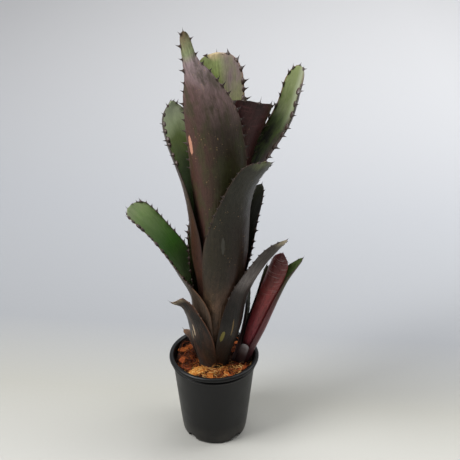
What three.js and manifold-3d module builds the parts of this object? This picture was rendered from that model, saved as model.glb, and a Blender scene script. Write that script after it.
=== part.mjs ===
// Potted bromeliad: a tall tube-forming bromeliad and its one offset, in a round nursery pot.
// Millimetres, +Z up. The origin is below the middle of the whole object's box, on the surface that
// it stands on. The plant and pot are laid out about the pot's own axis and then centred on the origin.
// Azimuths are in degrees seen from above: 0 is +X, 90 is +Y, and -90 is the front.
import * as THREE from "three";
import { mergeVertices } from "three/addons/utils/BufferGeometryUtils.js";
import Module from "manifold-3d";

const wasm = await Module();
wasm.setup();

// ---------------------------------------------------------------- driving dimensions

const CLEARANCE = 0.3; // between pieces that touch on the real plant

const POT = {
  height: 107,
  rimRadius: 52.5, // outside of the rolled lip
  lipDepth: 4.6, // how far the lip stands out from the wall below the collar
  collarHeight: 11,
  collar: [[4, 10], [2.7, 8], [3.2, 5.5], [0.5, 4], [0, 1.5], [2, 0]], // [in from the lip, below the top]
  innerLip: [0.5, 0.8],
  footRadius: 36.5,
  footChamfer: 5,
  footFlare: 2.3, // how far the chamfer widens
  footWidth: 2.5,
  wall: 1.3,
  floorLift: 5, // underside of the floor above the surface
  notchRadius: 7.3,
  notchLength: 14,
  notchReach: 1, // its middle stands this far out from the foot
  notchCount: 4,
  notchTurn: 45,
  segments: 48,
};

const BED = {
  belowRim: 10, // top of the growing medium below the pot's top edge
  shoulder: 3, // its edge starts to round off this far below the straight part of the wall's top
  edgeRounding: 0.8,
};

// The leaf bases nest into one upright tube. Heights are above the growing medium.
const TUBE = {
  baseRadius: 17.6,
  bodyRadius: 34.2,
  widensFrom: -17,
  widensOver: 85,
  swellRadius: 9, // further widening above the first leaves
  swellLoss: 1.2, // less of it for each leaf inside the last full one
  lastFullShell: 7,
  swellsFrom: 78,
  swellsOver: 85,
  lean: 6.5, // the tube's axis drifts this far to +X
  leansFrom: 8,
  leansOver: 110,
  levels: [-5, 8, 23, 43, 63, 83, 108, 136, 163, 193, 233],
};

const LEAF = {
  thickness: 0.75,
  nestGapLow: 0.35, // between nested leaf bases at the medium
  nestGapHigh: 0.95, // and higher up the tube
  firstHeight: -5, // where the outermost leaf joins the stem
  heightStep: 1.5, // each next leaf joins this much higher
  wrapKnee: 0.35, // share of the way up the tube at which the second wrap angle holds
  departure: 20, // the blade's curve takes its direction from this far down the tube
  rowSpacing: 34, // between cross-sections along a blade
  tipRows: [0.55, 0.85, 1], // cross-sections in the rounded tip, as shares of its length
  tipBluntness: 2.2,
  tipHalfWidth: 1.3,
  across: 10, // strips across a blade
};

const STEM = {
  footRadius: 11,
  footDepth: 20,
  shoulder: 2, // its full width starts this far below the first leaf
  crown: 4, // and it closes this far above the last
  crownShare: 0.4,
};

const PUP = {
  offset: [32.3, 4], // centre of its base from the tube's axis
  lean: [0.32, -0.02], // drift per millimetre of height
  leansFrom: -2,
  baseRadius: 12.9,
  taper: 0.016, // widening per millimetre of height
  swellRadius: 2.2, // further widening above the pot's rim
  swellsFrom: 12,
  swellsOver: 40,
  nestGap: 0.5,
  firstHeight: -4,
  heightStep: 1.5,
  levels: [-4, 12, 26, 39, 52, 110],
  footRadius: 7,
  footDepth: 17,
  shoulder: 2,
  crown: 4,
  crownShare: 0.4,
  thickness: 0.75,
};

const STOLON = { radius: 3, depth: 14, sides: 12 };

const CHIP = { thickness: 2.2 };

// ---------------------------------------------------------------- materials

const material = (color, roughness) => new THREE.MeshStandardMaterial({ color, roughness, metalness: 0 });

// ---------------------------------------------------------------- derived places

const bedZ = POT.height - BED.belowRim;
const wallTopRadius = POT.rimRadius - POT.lipDepth;
const wallTopZ = POT.height - POT.collarHeight;
const innerTopRadius = wallTopRadius - POT.wall;
const floorZ = POT.floorLift + POT.wall;
const chamferRadius = POT.footRadius + POT.footFlare;
const innerFootRadius = chamferRadius - POT.wall;

const radians = (degrees) => THREE.MathUtils.degToRad(degrees);
const smooth = (x) => THREE.MathUtils.smoothstep(x, 0, 1);

// ---------------------------------------------------------------- solids

function toSolid(geometry) {
  const bare = geometry.clone();
  bare.deleteAttribute("normal");
  bare.deleteAttribute("uv");
  const merged = mergeVertices(bare, 1e-4);
  return new wasm.Manifold(
    new wasm.Mesh({
      numProp: 3,
      vertProperties: merged.getAttribute("position").array,
      triVerts: new Uint32Array(merged.index.array),
    }),
  );
}

function toGeometry(solid) {
  const mesh = solid.getMesh();
  const geometry = new THREE.BufferGeometry();
  geometry.setAttribute("position", new THREE.BufferAttribute(mesh.vertProperties, 3));
  geometry.setIndex(new THREE.BufferAttribute(mesh.triVerts, 1));
  return geometry;
}

const cut = (geometry, ...cutters) =>
  toGeometry(cutters.reduce((left, cutter) => left.subtract(toSolid(cutter)), toSolid(geometry)));

// A lathe about +Z. The profile is a list of [radius, height], from the axis round to the axis.
function lathe(profile, segments) {
  const points = profile.map(([r, z]) => new THREE.Vector2(r, z));
  return new THREE.LatheGeometry(points, segments).rotateX(Math.PI / 2);
}

// A closed stack of level rings, each { x, y, z, r }, from the bottom to the top.
function ringStack(rings, segments) {
  const positions = [];
  const index = [];
  rings.forEach(({ x, y, z, r }) => {
    for (let i = 0; i < segments; i++) {
      const a = (2 * Math.PI * i) / segments;
      positions.push(x + r * Math.cos(a), y + r * Math.sin(a), z);
    }
  });
  const bottom = rings.length * segments;
  const first = rings[0];
  const last = rings[rings.length - 1];
  positions.push(first.x, first.y, first.z, last.x, last.y, last.z);
  const lastStart = (rings.length - 1) * segments;
  for (let i = 0; i < segments; i++) {
    const j = (i + 1) % segments;
    for (let k = 0; k < rings.length - 1; k++) {
      const a = k * segments;
      const b = a + segments;
      index.push(a + i, a + j, b + j, a + i, b + j, b + i);
    }
    index.push(bottom, j, i, bottom + 1, lastStart + i, lastStart + j);
  }
  const geometry = new THREE.BufferGeometry();
  geometry.setAttribute("position", new THREE.Float32BufferAttribute(positions, 3));
  geometry.setIndex(index);
  return geometry;
}

// ---------------------------------------------------------------- the nested tube

const widening = (h) => smooth((h - TUBE.widensFrom) / TUBE.widensOver);
const smoothRadius = (h) => THREE.MathUtils.lerp(TUBE.baseRadius, TUBE.bodyRadius, widening(h));
const leafPitch = (h) =>
  LEAF.thickness + THREE.MathUtils.lerp(LEAF.nestGapLow, LEAF.nestGapHigh, widening(h));

function swell(shell, h) {
  const full = TUBE.swellRadius - TUBE.swellLoss * Math.max(0, shell - TUBE.lastFullShell);
  return full * smooth((h - TUBE.swellsFrom) / TUBE.swellsOver);
}

const axisDrift = (h) => TUBE.lean * smooth((h - TUBE.leansFrom) / TUBE.leansOver);

// Between the shared levels every leaf base runs straight, so that nested leaves keep their gap.
function alongLevels(levels, f, h) {
  let i = levels.findIndex((level) => level >= h);
  i = Math.min(Math.max(i, 1), levels.length - 1);
  const share = (h - levels[i - 1]) / (levels[i] - levels[i - 1]);
  return THREE.MathUtils.lerp(f(levels[i - 1]), f(levels[i]), share);
}

const mainTube = {
  base: (shell) => LEAF.firstHeight + LEAF.heightStep * shell,
  radius: (shell, h) =>
    alongLevels(TUBE.levels, (l) => smoothRadius(l) - leafPitch(l) * shell + swell(shell, l), h),
  axis: (h) => [alongLevels(TUBE.levels, axisDrift, h), 0],
  thickness: LEAF.thickness,
  levels: TUBE.levels,
};

// The offset's tube: shell 0 is its outermost leaf.
const pupRadius = (h) =>
  PUP.baseRadius + PUP.taper * h + PUP.swellRadius * smooth((h - PUP.swellsFrom) / PUP.swellsOver);

const pupTube = {
  base: (shell) => PUP.firstHeight + PUP.heightStep * shell,
  radius: (shell, h) => alongLevels(PUP.levels, pupRadius, h) - (PUP.thickness + PUP.nestGap) * shell,
  axis: (h) => PUP.offset.map((start, i) => start + PUP.lean[i] * (h - PUP.leansFrom)),
  thickness: PUP.thickness,
  levels: PUP.levels,
};

// ---------------------------------------------------------------- leaves

// One cross-section of a leaf: where its midrib is, half its width, the radius it curls to,
// its roll about the midrib, and whether it is level (0, in the tube) or square to the midrib (1).
class Section {
  constructor(mid, half, curl, roll, square) {
    Object.assign(this, { mid, half, curl, roll, square });
  }
}

function catmull(a, b, c, d, t) {
  const point = (p, q, r, s) =>
    0.5 * (2 * q + (r - p) * t + (2 * p - 5 * q + 4 * r - s) * t * t + (3 * q - p - 3 * r + s) * t ** 3);
  const mid = new THREE.Vector3(
    point(a.mid.x, b.mid.x, c.mid.x, d.mid.x),
    point(a.mid.y, b.mid.y, c.mid.y, d.mid.y),
    point(a.mid.z, b.mid.z, c.mid.z, d.mid.z),
  );
  const value = (key) => point(a[key], b[key], c[key], d[key]);
  return new Section(mid, value("half"), value("curl"), value("roll"), value("square"));
}

const LEVEL_MARGIN = 3.5; // a level closer than this to a leaf's own ends is left out
const SPAN_STEPS = 24; // fine steps between two blade rows

// A leaf's sections: level ones up its tube, then the blade's, close together near the tip.
function leafSections(leaf, tube) {
  const outward = new THREE.Vector3(Math.cos(radians(leaf.azimuth)), Math.sin(radians(leaf.azimuth)), 0);
  const sideways = new THREE.Vector3(-outward.y, outward.x, 0);
  const base = tube.base(leaf.shell);
  const place = (h, out, side) => {
    const [x, y] = tube.axis(h);
    return new THREE.Vector3(x, y, bedZ + h).addScaledVector(outward, out).addScaledVector(sideways, side);
  };
  const wrapAt = (share) =>
    share < LEAF.wrapKnee
      ? THREE.MathUtils.lerp(leaf.wrap[0], leaf.wrap[1], share / LEAF.wrapKnee)
      : THREE.MathUtils.mapLinear(share, LEAF.wrapKnee, 1, leaf.wrap[1], leaf.wrap[2]);
  const tubeSection = (h) => {
    const r = tube.radius(leaf.shell, h);
    const wrap = radians(wrapAt((h - base) / (leaf.leaves - base)));
    return new Section(place(h, r, 0), wrap * r, r, 0, 0);
  };
  const between = tube.levels.filter((l) => l > base + LEVEL_MARGIN && l < leaf.leaves - LEVEL_MARGIN);
  const sections = [base, ...between, leaf.leaves].map(tubeSection);

  const departure = tube.radius(leaf.shell, leaf.leaves);
  const knots = [tubeSection(leaf.leaves - LEAF.departure), sections[sections.length - 1]];
  for (const [h, spread, side, half, curl, roll] of leaf.blade)
    knots.push(new Section(place(h, departure + spread, side), half, curl, radians(roll), 1));
  const end = knots[knots.length - 1];
  const beforeEnd = knots[knots.length - 2];
  const mirrored = new Section(
    end.mid.clone().multiplyScalar(2).sub(beforeEnd.mid),
    2 * end.half - beforeEnd.half,
    2 * end.curl - beforeEnd.curl,
    end.roll,
    1,
  );
  knots.push(mirrored);

  const fine = [];
  for (let i = 1; i < knots.length - 2; i++)
    for (let j = 0; j < SPAN_STEPS; j++)
      fine.push(catmull(knots[i - 1], knots[i], knots[i + 1], knots[i + 2], j / SPAN_STEPS));
  fine.push(end);
  const run = [0];
  for (let i = 1; i < fine.length; i++) run.push(run[i - 1] + fine[i].mid.distanceTo(fine[i - 1].mid));
  const length = run[run.length - 1];
  const tipStart = length - leaf.tip;

  const stops = [];
  const bodyRows = Math.max(2, Math.round(tipStart / LEAF.rowSpacing));
  for (let i = 1; i <= bodyRows; i++) stops.push((tipStart * i) / bodyRows);
  for (const share of LEAF.tipRows) stops.push(tipStart + leaf.tip * share);
  for (const stop of stops) {
    const i = Math.min(Math.max(run.findIndex((r) => r >= stop - 1e-6), 1), fine.length - 1);
    const t = THREE.MathUtils.clamp((stop - run[i - 1]) / (run[i] - run[i - 1]), 0, 1);
    const [p, q] = [fine[i - 1], fine[i]];
    const mix = (key) => THREE.MathUtils.lerp(p[key], q[key], t);
    const past = THREE.MathUtils.clamp((stop - tipStart) / leaf.tip, 0, 1);
    const rounding = Math.sqrt(Math.max(0, 1 - past ** LEAF.tipBluntness));
    const half = Math.max(LEAF.tipHalfWidth, mix("half") * rounding);
    const mid = p.mid.clone().lerp(q.mid, t);
    const square = THREE.MathUtils.clamp(mix("square"), 0, 1);
    const section = new Section(mid, half, mix("curl"), mix("roll"), square);
    section.tangent = q.mid.clone().sub(p.mid).normalize();
    sections.push(section);
  }
  return { sections, outward };
}

// The closed skin of a leaf: its outer face, its inner face one thickness in, and its edges.
function leafGeometry(leaf, tube) {
  const { sections, outward } = leafSections(leaf, tube);
  const across = leaf.across ?? LEAF.across;
  const up = new THREE.Vector3(0, 0, 1);
  const outer = [];
  const inner = [];
  for (const s of sections) {
    const along = up.clone().multiplyScalar(1 - s.square);
    if (s.tangent) along.addScaledVector(s.tangent, s.square);
    along.normalize();
    const facing = outward.clone().addScaledVector(along, -outward.dot(along)).normalize();
    const cross = new THREE.Vector3().crossVectors(along, facing);
    facing.applyAxisAngle(along, s.roll);
    cross.applyAxisAngle(along, s.roll);
    for (let i = 0; i <= across; i++) {
      const angle = ((2 * i) / across - 1) * (s.half / s.curl);
      const point = s.mid.clone();
      point.addScaledVector(cross, s.curl * Math.sin(angle));
      point.addScaledVector(facing, s.curl * (Math.cos(angle) - 1));
      const normal = cross.clone().multiplyScalar(Math.sin(angle)).addScaledVector(facing, Math.cos(angle));
      outer.push(point);
      inner.push(point.clone().addScaledVector(normal, -tube.thickness));
    }
  }
  const positions = [...outer, ...inner].flatMap((p) => [p.x, p.y, p.z]);
  const columns = across + 1;
  const rows = sections.length;
  const offset = outer.length;
  const index = [];
  const quad = (a, b, c, d) => index.push(a, b, c, a, c, d);
  for (let r = 0; r < rows - 1; r++)
    for (let c = 0; c < across; c++) {
      const a = r * columns + c;
      const b = a + columns;
      quad(a, a + 1, b + 1, b);
      quad(offset + a, offset + b, offset + b + 1, offset + a + 1);
    }
  for (let r = 0; r < rows - 1; r++) {
    const left = r * columns;
    const right = left + across;
    quad(left, left + columns, offset + left + columns, offset + left);
    quad(right, offset + right, offset + right + columns, right + columns);
  }
  const top = (rows - 1) * columns;
  for (let c = 0; c < across; c++) {
    quad(c, offset + c, offset + c + 1, c + 1);
    quad(top + c, top + c + 1, offset + top + c + 1, offset + top + c);
  }
  const geometry = new THREE.BufferGeometry();
  geometry.setAttribute("position", new THREE.Float32BufferAttribute(positions, 3));
  geometry.setIndex(index);
  return geometry;
}

const PURPLE = material("#453835", 0.5);
const GREEN_BROWN = material("#4a4f3c", 0.5);
const GREEN = material("#4f6b42", 0.45);
const DRY = material("#5b4636", 0.8);
const PUP_RED = material("#5a2a30", 0.45);

// shell: place in the nest, 0 outermost. leaves: height where it leaves the tube.
// wrap: half-angles round the tube at its base, a third of the way up, and where it leaves.
// blade rows: height, spread beyond its radius in the tube, sideways, half width, curl radius, roll.
const MAIN_LEAVES = [
  { name: "leaf_dried", look: DRY, shell: 0, azimuth: 142, leaves: 9, wrap: [60, 55, 45], across: 8,
    blade: [[17, 9, 0, 9, 14, 0], [23, 26, 0, 5, 9, 0]], tip: 8 },
  { name: "leaf_outer_left", look: PURPLE, shell: 1, azimuth: -150, leaves: 53, wrap: [78, 68, 55],
    blade: [[71, 6, 0, 23, 26, 0], [86, 13, -3, 18, 21, 0], [93, 24, -8, 10, 13, 0]], tip: 9 },
  { name: "leaf_right_low", look: PURPLE, shell: 2, azimuth: -22, leaves: 78, wrap: [70, 67, 60],
    blade: [[108, 6, 0, 23, 26, -12], [141, 21, 0, 16, 22, -20], [162, 35, 2, 12, 18, -25],
      [177, 47, 4, 8, 12, -30]], tip: 25 },
  { name: "leaf_left_low", look: GREEN, shell: 3, azimuth: 174, leaves: 88, wrap: [100, 96, 80],
    blade: [[115, 13, 0, 30, 30, -3], [147, 29, 2, 26, 32, -6], [177, 51, 2, 24, 32, -9],
      [197, 71, 2, 21, 32, -10]], tip: 16 },
  { name: "leaf_back_left", look: GREEN_BROWN, shell: 4, azimuth: 118, leaves: 113, wrap: [95, 85, 70],
    blade: [[143, 8, 0, 26, 38, 0], [175, 18, 0, 18, 36, 0]], tip: 25 },
  { name: "leaf_back_right", look: GREEN_BROWN, shell: 5, azimuth: 42, leaves: 123, wrap: [95, 85, 68],
    blade: [[153, 7, 0, 27, 38, 0], [183, 18, 0, 18, 36, 0], [210, 34, 0, 10, 30, 0]], tip: 30 },
  { name: "leaf_front_right", look: GREEN_BROWN, shell: 6, azimuth: -47, leaves: 168, wrap: [98, 92, 74],
    blade: [[203, 1.5, 0, 33, 35, 0], [243, 12, 1, 24, 38, 0], [276, 30, 9, 20, 36, 0]], tip: 20 },
  { name: "leaf_left_tall", look: GREEN, shell: 7, azimuth: 155, leaves: 173, wrap: [100, 92, 78],
    blade: [[223, 7, 0, 36, 34, 0], [273, 24, 0, 34, 36, 0], [300, 30, 0, 27, 34, 0],
      [317, 24, 0, 14, 34, 0]], tip: 20 },
  { name: "leaf_right_tall", look: GREEN, shell: 8, azimuth: 18, leaves: 185, wrap: [95, 88, 72],
    blade: [[243, 17, 3, 23, 34, 0], [295, 49, 0, 24, 30, 0], [328, 60, 0, 23, 27, 0],
      [357, 67, 0, 16, 22, 0]], tip: 20 },
  { name: "leaf_front_tall", look: PURPLE, shell: 9, azimuth: -90, leaves: 193, wrap: [100, 94, 80],
    blade: [[248, 1.5, 0, 38, 32, 0], [303, 3, -5, 35, 33, 0], [335, 4, -12, 27, 30, 0],
      [358, 4, -20, 16, 24, 0], [378, 3, -28, 7.5, 14, 0], [408, 0, -33, 5, 12, 0]], tip: 12 },
  { name: "leaf_front_inner", look: PURPLE, shell: 10, azimuth: -65, leaves: 203, wrap: [95, 85, 70],
    blade: [[273, -6.5, 19.5, 23, 28, 0], [326, 1, 36, 27, 30, 0]], tip: 9 },
  { name: "leaf_back_tall", look: GREEN, shell: 11, azimuth: 88, leaves: 233, wrap: [95, 85, 72],
    blade: [[283, 6, 0, 34, 28, 0], [333, 16, 0, 32, 30, 0], [363, 24, 3, 26, 28, 0]], tip: 24 },
  { name: "leaf_heart", look: GREEN, shell: 12, azimuth: 190, leaves: 198, wrap: [95, 80, 60], across: 8,
    blade: [[243, -7, 0, 9, 14, 0], [283, -9, 0, 6, 12, 0]], tip: 30 },
];

const PUP_LEAVES = [
  { name: "pup_scale", look: DRY, shell: 0, azimuth: -112, leaves: 12, wrap: [30, 28, 26], across: 6,
    blade: [[21, 0.5, 0, 6, 9, 0], [31, 1, 0, 4.5, 7, 0]], tip: 6 },
  { name: "pup_leaf_dark", look: PURPLE, shell: 1, azimuth: 165, leaves: 38, wrap: [80, 70, 45], across: 8,
    blade: [[63, 5, -4, 9, 9, 0], [98, 14, -8, 5, 8, 0]], tip: 14 },
  { name: "pup_leaf_green", look: GREEN, shell: 2, azimuth: 10, leaves: 73, wrap: [100, 95, 80],
    blade: [[108, 3, 0, 14, 11, 0], [136, 10.8, 0, 7, 9, 0]], tip: 30 },
  { name: "pup_leaf_back", look: PURPLE, shell: 3, azimuth: 130, leaves: 83, wrap: [90, 85, 60], across: 8,
    blade: [[108, 1, 2, 8, 9, 0], [123, 3.5, 2, 4, 8, 0]], tip: 16 },
  { name: "pup_leaf_red", look: PUP_RED, shell: 4, azimuth: -115, leaves: 103, wrap: [100, 100, 100],
    blade: [[131, -1, 0, 15, 10.5, 0], [151, -1.5, 0, 9, 9, 0]], tip: 22 },
];

// ---------------------------------------------------------------- stems

const STEM_SEGMENTS = 24;
const SOCKET_TOP = 4; // above the medium, so that the hole cuts right through its surface

// A short stem that each leaf base sits against, from its foot in the medium up to the last leaf.
function stem(tube, leaves, size) {
  const rings = [];
  const ring = (h, r) => {
    const [x, y] = tube.axis(h);
    rings.push({ x, y, z: bedZ + h, r });
  };
  const seat = (shell) => tube.radius(shell, tube.base(shell)) - tube.thickness - CLEARANCE;
  ring(-size.footDepth, size.footRadius);
  ring(tube.base(0) - size.shoulder, seat(0));
  for (const { shell } of leaves) ring(tube.base(shell), seat(shell));
  const last = leaves[leaves.length - 1].shell;
  ring(tube.base(last) + size.crown, seat(last) * size.crownShare);
  return ringStack(rings, STEM_SEGMENTS);
}

// The hole in the medium for a stem and the leaf bases round it.
function socket(tube, size) {
  const rings = [];
  const ring = (h, r) => {
    const [x, y] = tube.axis(h);
    rings.push({ x, y, z: bedZ + h, r: r + CLEARANCE });
  };
  ring(-size.footDepth - CLEARANCE, size.footRadius);
  ring(tube.base(0) - size.shoulder, tube.radius(0, tube.base(0)));
  ring(tube.base(0), tube.radius(0, tube.base(0)));
  ring(SOCKET_TOP, tube.radius(0, SOCKET_TOP));
  return ringStack(rings, STEM_SEGMENTS);
}

// A level rod from one stem to the other, and the channel that it lies in.
function rod(from, to, z, radius) {
  const a = new THREE.Vector3(from[0], from[1], z);
  const b = new THREE.Vector3(to[0], to[1], z);
  const length = a.distanceTo(b);
  const geometry = new THREE.CylinderGeometry(radius, radius, length, STOLON.sides);
  const direction = b.clone().sub(a).normalize();
  const turn = new THREE.Quaternion().setFromUnitVectors(new THREE.Vector3(0, 1, 0), direction);
  return geometry.applyQuaternion(turn).translate((a.x + b.x) / 2, (a.y + b.y) / 2, z);
}

const stolonZ = bedZ - STOLON.depth;
const pupAtStolon = pupTube.axis(-STOLON.depth);
const pupDistance = Math.hypot(...pupAtStolon);
const toward = pupAtStolon.map((v) => v / pupDistance);
const stemRadiusAt = (tube, size, depth) => {
  const seatDepth = size.shoulder - tube.base(0);
  const seatRadius = tube.radius(0, tube.base(0)) - tube.thickness - CLEARANCE;
  return THREE.MathUtils.mapLinear(depth, size.footDepth, seatDepth, size.footRadius, seatRadius);
};
const stolonStart = stemRadiusAt(mainTube, STEM, STOLON.depth - STOLON.radius) + CLEARANCE;
const stolonEnd = pupDistance - stemRadiusAt(pupTube, PUP, STOLON.depth - STOLON.radius) - 2 * CLEARANCE;
const alongStolon = (d) => toward.map((v) => v * d);

// ---------------------------------------------------------------- pot and growing medium

function potGeometry() {
  const profile = [
    [0, POT.floorLift],
    [POT.footRadius - POT.footWidth, POT.floorLift],
    [POT.footRadius - POT.footWidth, 0],
    [POT.footRadius, 0],
    [chamferRadius, POT.footChamfer],
    [wallTopRadius, wallTopZ],
    ...POT.collar.map(([inset, drop]) => [POT.rimRadius - inset, POT.height - drop]),
    [innerTopRadius + POT.innerLip[0], POT.height - POT.innerLip[1]],
    [innerTopRadius, wallTopZ],
    [innerFootRadius, floorZ],
    [0, floorZ],
  ];
  const notches = [];
  for (let i = 0; i < POT.notchCount; i++) {
    const notch = new THREE.CylinderGeometry(POT.notchRadius, POT.notchRadius, POT.notchLength, 16);
    notch.rotateZ(Math.PI / 2).translate(POT.footRadius + POT.notchReach, 0, 0);
    notches.push(notch.rotateZ(radians(POT.notchTurn + (360 * i) / POT.notchCount)));
  }
  return cut(lathe(profile, POT.segments), ...notches);
}

const substrateBottomZ = floorZ + CLEARANCE;

function substrateGeometry() {
  const slope = (innerTopRadius - innerFootRadius) / (wallTopZ - floorZ);
  const radiusAt = (z) => innerFootRadius + slope * (z - floorZ) - CLEARANCE;
  const shoulderZ = wallTopZ - BED.shoulder;
  const profile = [
    [0, substrateBottomZ],
    [radiusAt(substrateBottomZ), substrateBottomZ],
    [radiusAt(shoulderZ), shoulderZ],
    [radiusAt(shoulderZ) - BED.edgeRounding, bedZ],
    [0, bedZ],
  ];
  const channel = rod(alongStolon(0), pupAtStolon, stolonZ, STOLON.radius + CLEARANCE);
  return cut(lathe(profile, POT.segments), socket(mainTube, STEM), socket(pupTube, PUP), channel);
}

// ---------------------------------------------------------------- husk chips

// Flat chips on the medium: azimuth, inset from the pot's wall, length, width, spin, colour.
const CHIPS = [
  ["husk_chip_red", 152, 9, 17, 7, 60, "#a5432a"],
  ["husk_chip_golden", -124, 15, 19, 8, -40, "#c58a45"],
  ["husk_chip_back", 118, 10, 15, 8, 20, "#6b4029"],
  ["husk_chip_left", -172, 10, 15, 7, 80, "#8f5630"],
  ["husk_chip_front_left", -148, 9, 14, 6, -70, "#7c4a2c"],
  ["husk_chip_front", -96, 9, 18, 7, 15, "#b0713c"],
  ["husk_chip_front_right", -62, 9, 15, 6, 30, "#94592f"],
  ["husk_chip_right", -32, 7, 12, 5, 60, "#7a4629"],
  ["husk_chip_far_right", 48, 9, 15, 7, -45, "#86502e"],
];

function chipGeometry(length, width) {
  const outline = new THREE.Shape();
  const [l, w] = [length / 2, width / 2];
  outline.moveTo(-l, -0.3 * w);
  outline.lineTo(-0.5 * l, -w);
  outline.lineTo(0.6 * l, -0.8 * w);
  outline.lineTo(l, 0.1 * w);
  outline.lineTo(0.4 * l, w);
  outline.lineTo(-0.7 * l, 0.7 * w);
  outline.closePath();
  return new THREE.ExtrudeGeometry(outline, { depth: CHIP.thickness, bevelEnabled: false });
}

// ---------------------------------------------------------------- the plant in its pot

const plant = new THREE.Group();

function add(name, geometry, look) {
  const mesh = new THREE.Mesh(geometry, look);
  mesh.name = name;
  plant.add(mesh);
  return mesh;
}

add("pot", potGeometry(), material("#2f2f2d", 0.55));
add("substrate", substrateGeometry(), material("#6b4427", 0.95));
add("stem", stem(mainTube, MAIN_LEAVES, STEM), material("#6f5a40", 0.8));
add("pup_stem", stem(pupTube, PUP_LEAVES, PUP), material("#6f5a40", 0.8));
const stolon = rod(alongStolon(stolonStart), alongStolon(stolonEnd), stolonZ, STOLON.radius);
add("stolon", stolon, material("#7a6246", 0.8));
for (const leaf of MAIN_LEAVES) add(leaf.name, leafGeometry(leaf, mainTube), leaf.look);
for (const leaf of PUP_LEAVES) add(leaf.name, leafGeometry(leaf, pupTube), leaf.look);
for (const [name, azimuth, inset, length, width, spin, color] of CHIPS) {
  const chip = add(name, chipGeometry(length, width), material(color, 0.9));
  const r = innerTopRadius - inset;
  chip.position.set(r * Math.cos(radians(azimuth)), r * Math.sin(radians(azimuth)), bedZ + CLEARANCE);
  chip.rotation.z = radians(azimuth + spin);
}

// The leaves reach further to one side than to the other, so the pot's axis is a little off the origin.
const box = new THREE.Box3().setFromObject(plant, true);
const middle = box.getCenter(new THREE.Vector3());
plant.position.set(-middle.x, -middle.y, 0);

const object = new THREE.Group();
object.add(plant);

export default object;
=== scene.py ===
"""The look of a potted bromeliad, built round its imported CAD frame.

Leaves are worked out in millimetres about the pot's own axis, with heights counted from the top of
the growing medium, and are turned into metres in the frame when their meshes are made.
"""

import math

import bpy
import numpy as np
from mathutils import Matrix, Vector


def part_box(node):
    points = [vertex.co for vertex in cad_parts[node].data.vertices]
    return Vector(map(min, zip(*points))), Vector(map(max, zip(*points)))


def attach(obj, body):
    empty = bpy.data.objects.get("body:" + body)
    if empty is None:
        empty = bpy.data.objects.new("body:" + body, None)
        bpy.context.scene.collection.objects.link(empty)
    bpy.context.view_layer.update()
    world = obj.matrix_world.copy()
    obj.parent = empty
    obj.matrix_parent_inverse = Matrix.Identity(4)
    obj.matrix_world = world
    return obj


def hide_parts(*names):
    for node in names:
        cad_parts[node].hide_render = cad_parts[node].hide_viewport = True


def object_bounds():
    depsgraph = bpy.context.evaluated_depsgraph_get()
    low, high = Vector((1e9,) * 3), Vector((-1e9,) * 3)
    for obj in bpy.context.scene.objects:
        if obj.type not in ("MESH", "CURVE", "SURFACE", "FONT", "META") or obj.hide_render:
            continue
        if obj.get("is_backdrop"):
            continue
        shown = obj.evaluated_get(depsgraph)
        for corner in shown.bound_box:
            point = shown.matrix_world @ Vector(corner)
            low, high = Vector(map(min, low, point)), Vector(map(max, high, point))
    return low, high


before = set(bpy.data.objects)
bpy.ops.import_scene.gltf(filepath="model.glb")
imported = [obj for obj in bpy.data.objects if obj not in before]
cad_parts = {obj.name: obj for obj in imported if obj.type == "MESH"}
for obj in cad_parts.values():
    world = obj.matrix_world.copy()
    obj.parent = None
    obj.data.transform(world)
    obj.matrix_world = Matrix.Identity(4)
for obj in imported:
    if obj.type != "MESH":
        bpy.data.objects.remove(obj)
cad_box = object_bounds()

MM = 0.001
TURN = 2 * math.pi
ROOT = "root"
BLACK = (0.0, 0.0, 0.0, 1.0)

pot_low, pot_high = (np.array(corner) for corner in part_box("pot"))
bed_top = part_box("substrate")[1][2]
POT_AXIS = (pot_low + pot_high)[:2] / 2
BED_Z = bed_top / MM
POT_HEIGHT = (pot_high[2] - pot_low[2]) / MM
RIM_RADIUS = (pot_high[0] - pot_low[0]) / 2 / MM

# ------------------------------------------------------------------ small maths


def smooth(x):
    x = np.clip(x, 0.0, 1.0)
    return x * x * (3 - 2 * x)


def lerp(a, b, t):
    return a + (b - a) * t


def unit(v):
    return v / np.maximum(np.linalg.norm(v, axis=-1, keepdims=True), 1e-9)


def polar(radius, angle):
    return radius * np.cos(angle), radius * np.sin(angle)


def running_length(points):
    return np.concatenate([[0], np.cumsum(np.linalg.norm(np.diff(points, axis=0), axis=1))])


def wobble(x, seed, octaves=3):
    """A smooth, repeatable wave of x with no period in sight, between about -1 and 1."""
    rng = np.random.default_rng(seed)
    total = np.zeros_like(np.asarray(x, float))
    for octave in range(octaves):
        for _ in range(2):
            rate = (1.9**octave) * rng.uniform(0.7, 1.4)
            total += np.sin(x * rate + rng.uniform(0, TURN)) / (1.8**octave)
    return total / 2.6


# ------------------------------------------------------------------ meshes


def make_piece(name, vertices_mm, faces, materials, replaces, slot, looks=None):
    """A mesh object, given in millimetres about the pot's axis, that rides on the root body."""
    vertices = np.asarray(vertices_mm, float) * MM
    vertices[:, 0] += POT_AXIS[0]
    vertices[:, 1] += POT_AXIS[1]
    mesh = bpy.data.meshes.new(name)
    mesh.from_pydata(vertices.tolist(), [], [tuple(map(int, face)) for face in faces])
    mesh.update()
    for material in materials:
        mesh.materials.append(material)
    if looks is not None:
        mesh.polygons.foreach_set("material_index", np.asarray(looks, dtype=np.int32))
    mesh.polygons.foreach_set("use_smooth", [True] * len(mesh.polygons))
    piece = bpy.data.objects.new(name, mesh)
    bpy.context.scene.collection.objects.link(piece)
    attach(piece, ROOT)
    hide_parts(*replaces)
    return piece


def set_attribute(piece, name, kind, values):
    attribute = piece.data.attributes.new(name, kind, "POINT")
    key = "vector" if kind == "FLOAT_VECTOR" else "value"
    attribute.data.foreach_set(key, np.asarray(values, dtype=np.float32).ravel())


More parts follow.
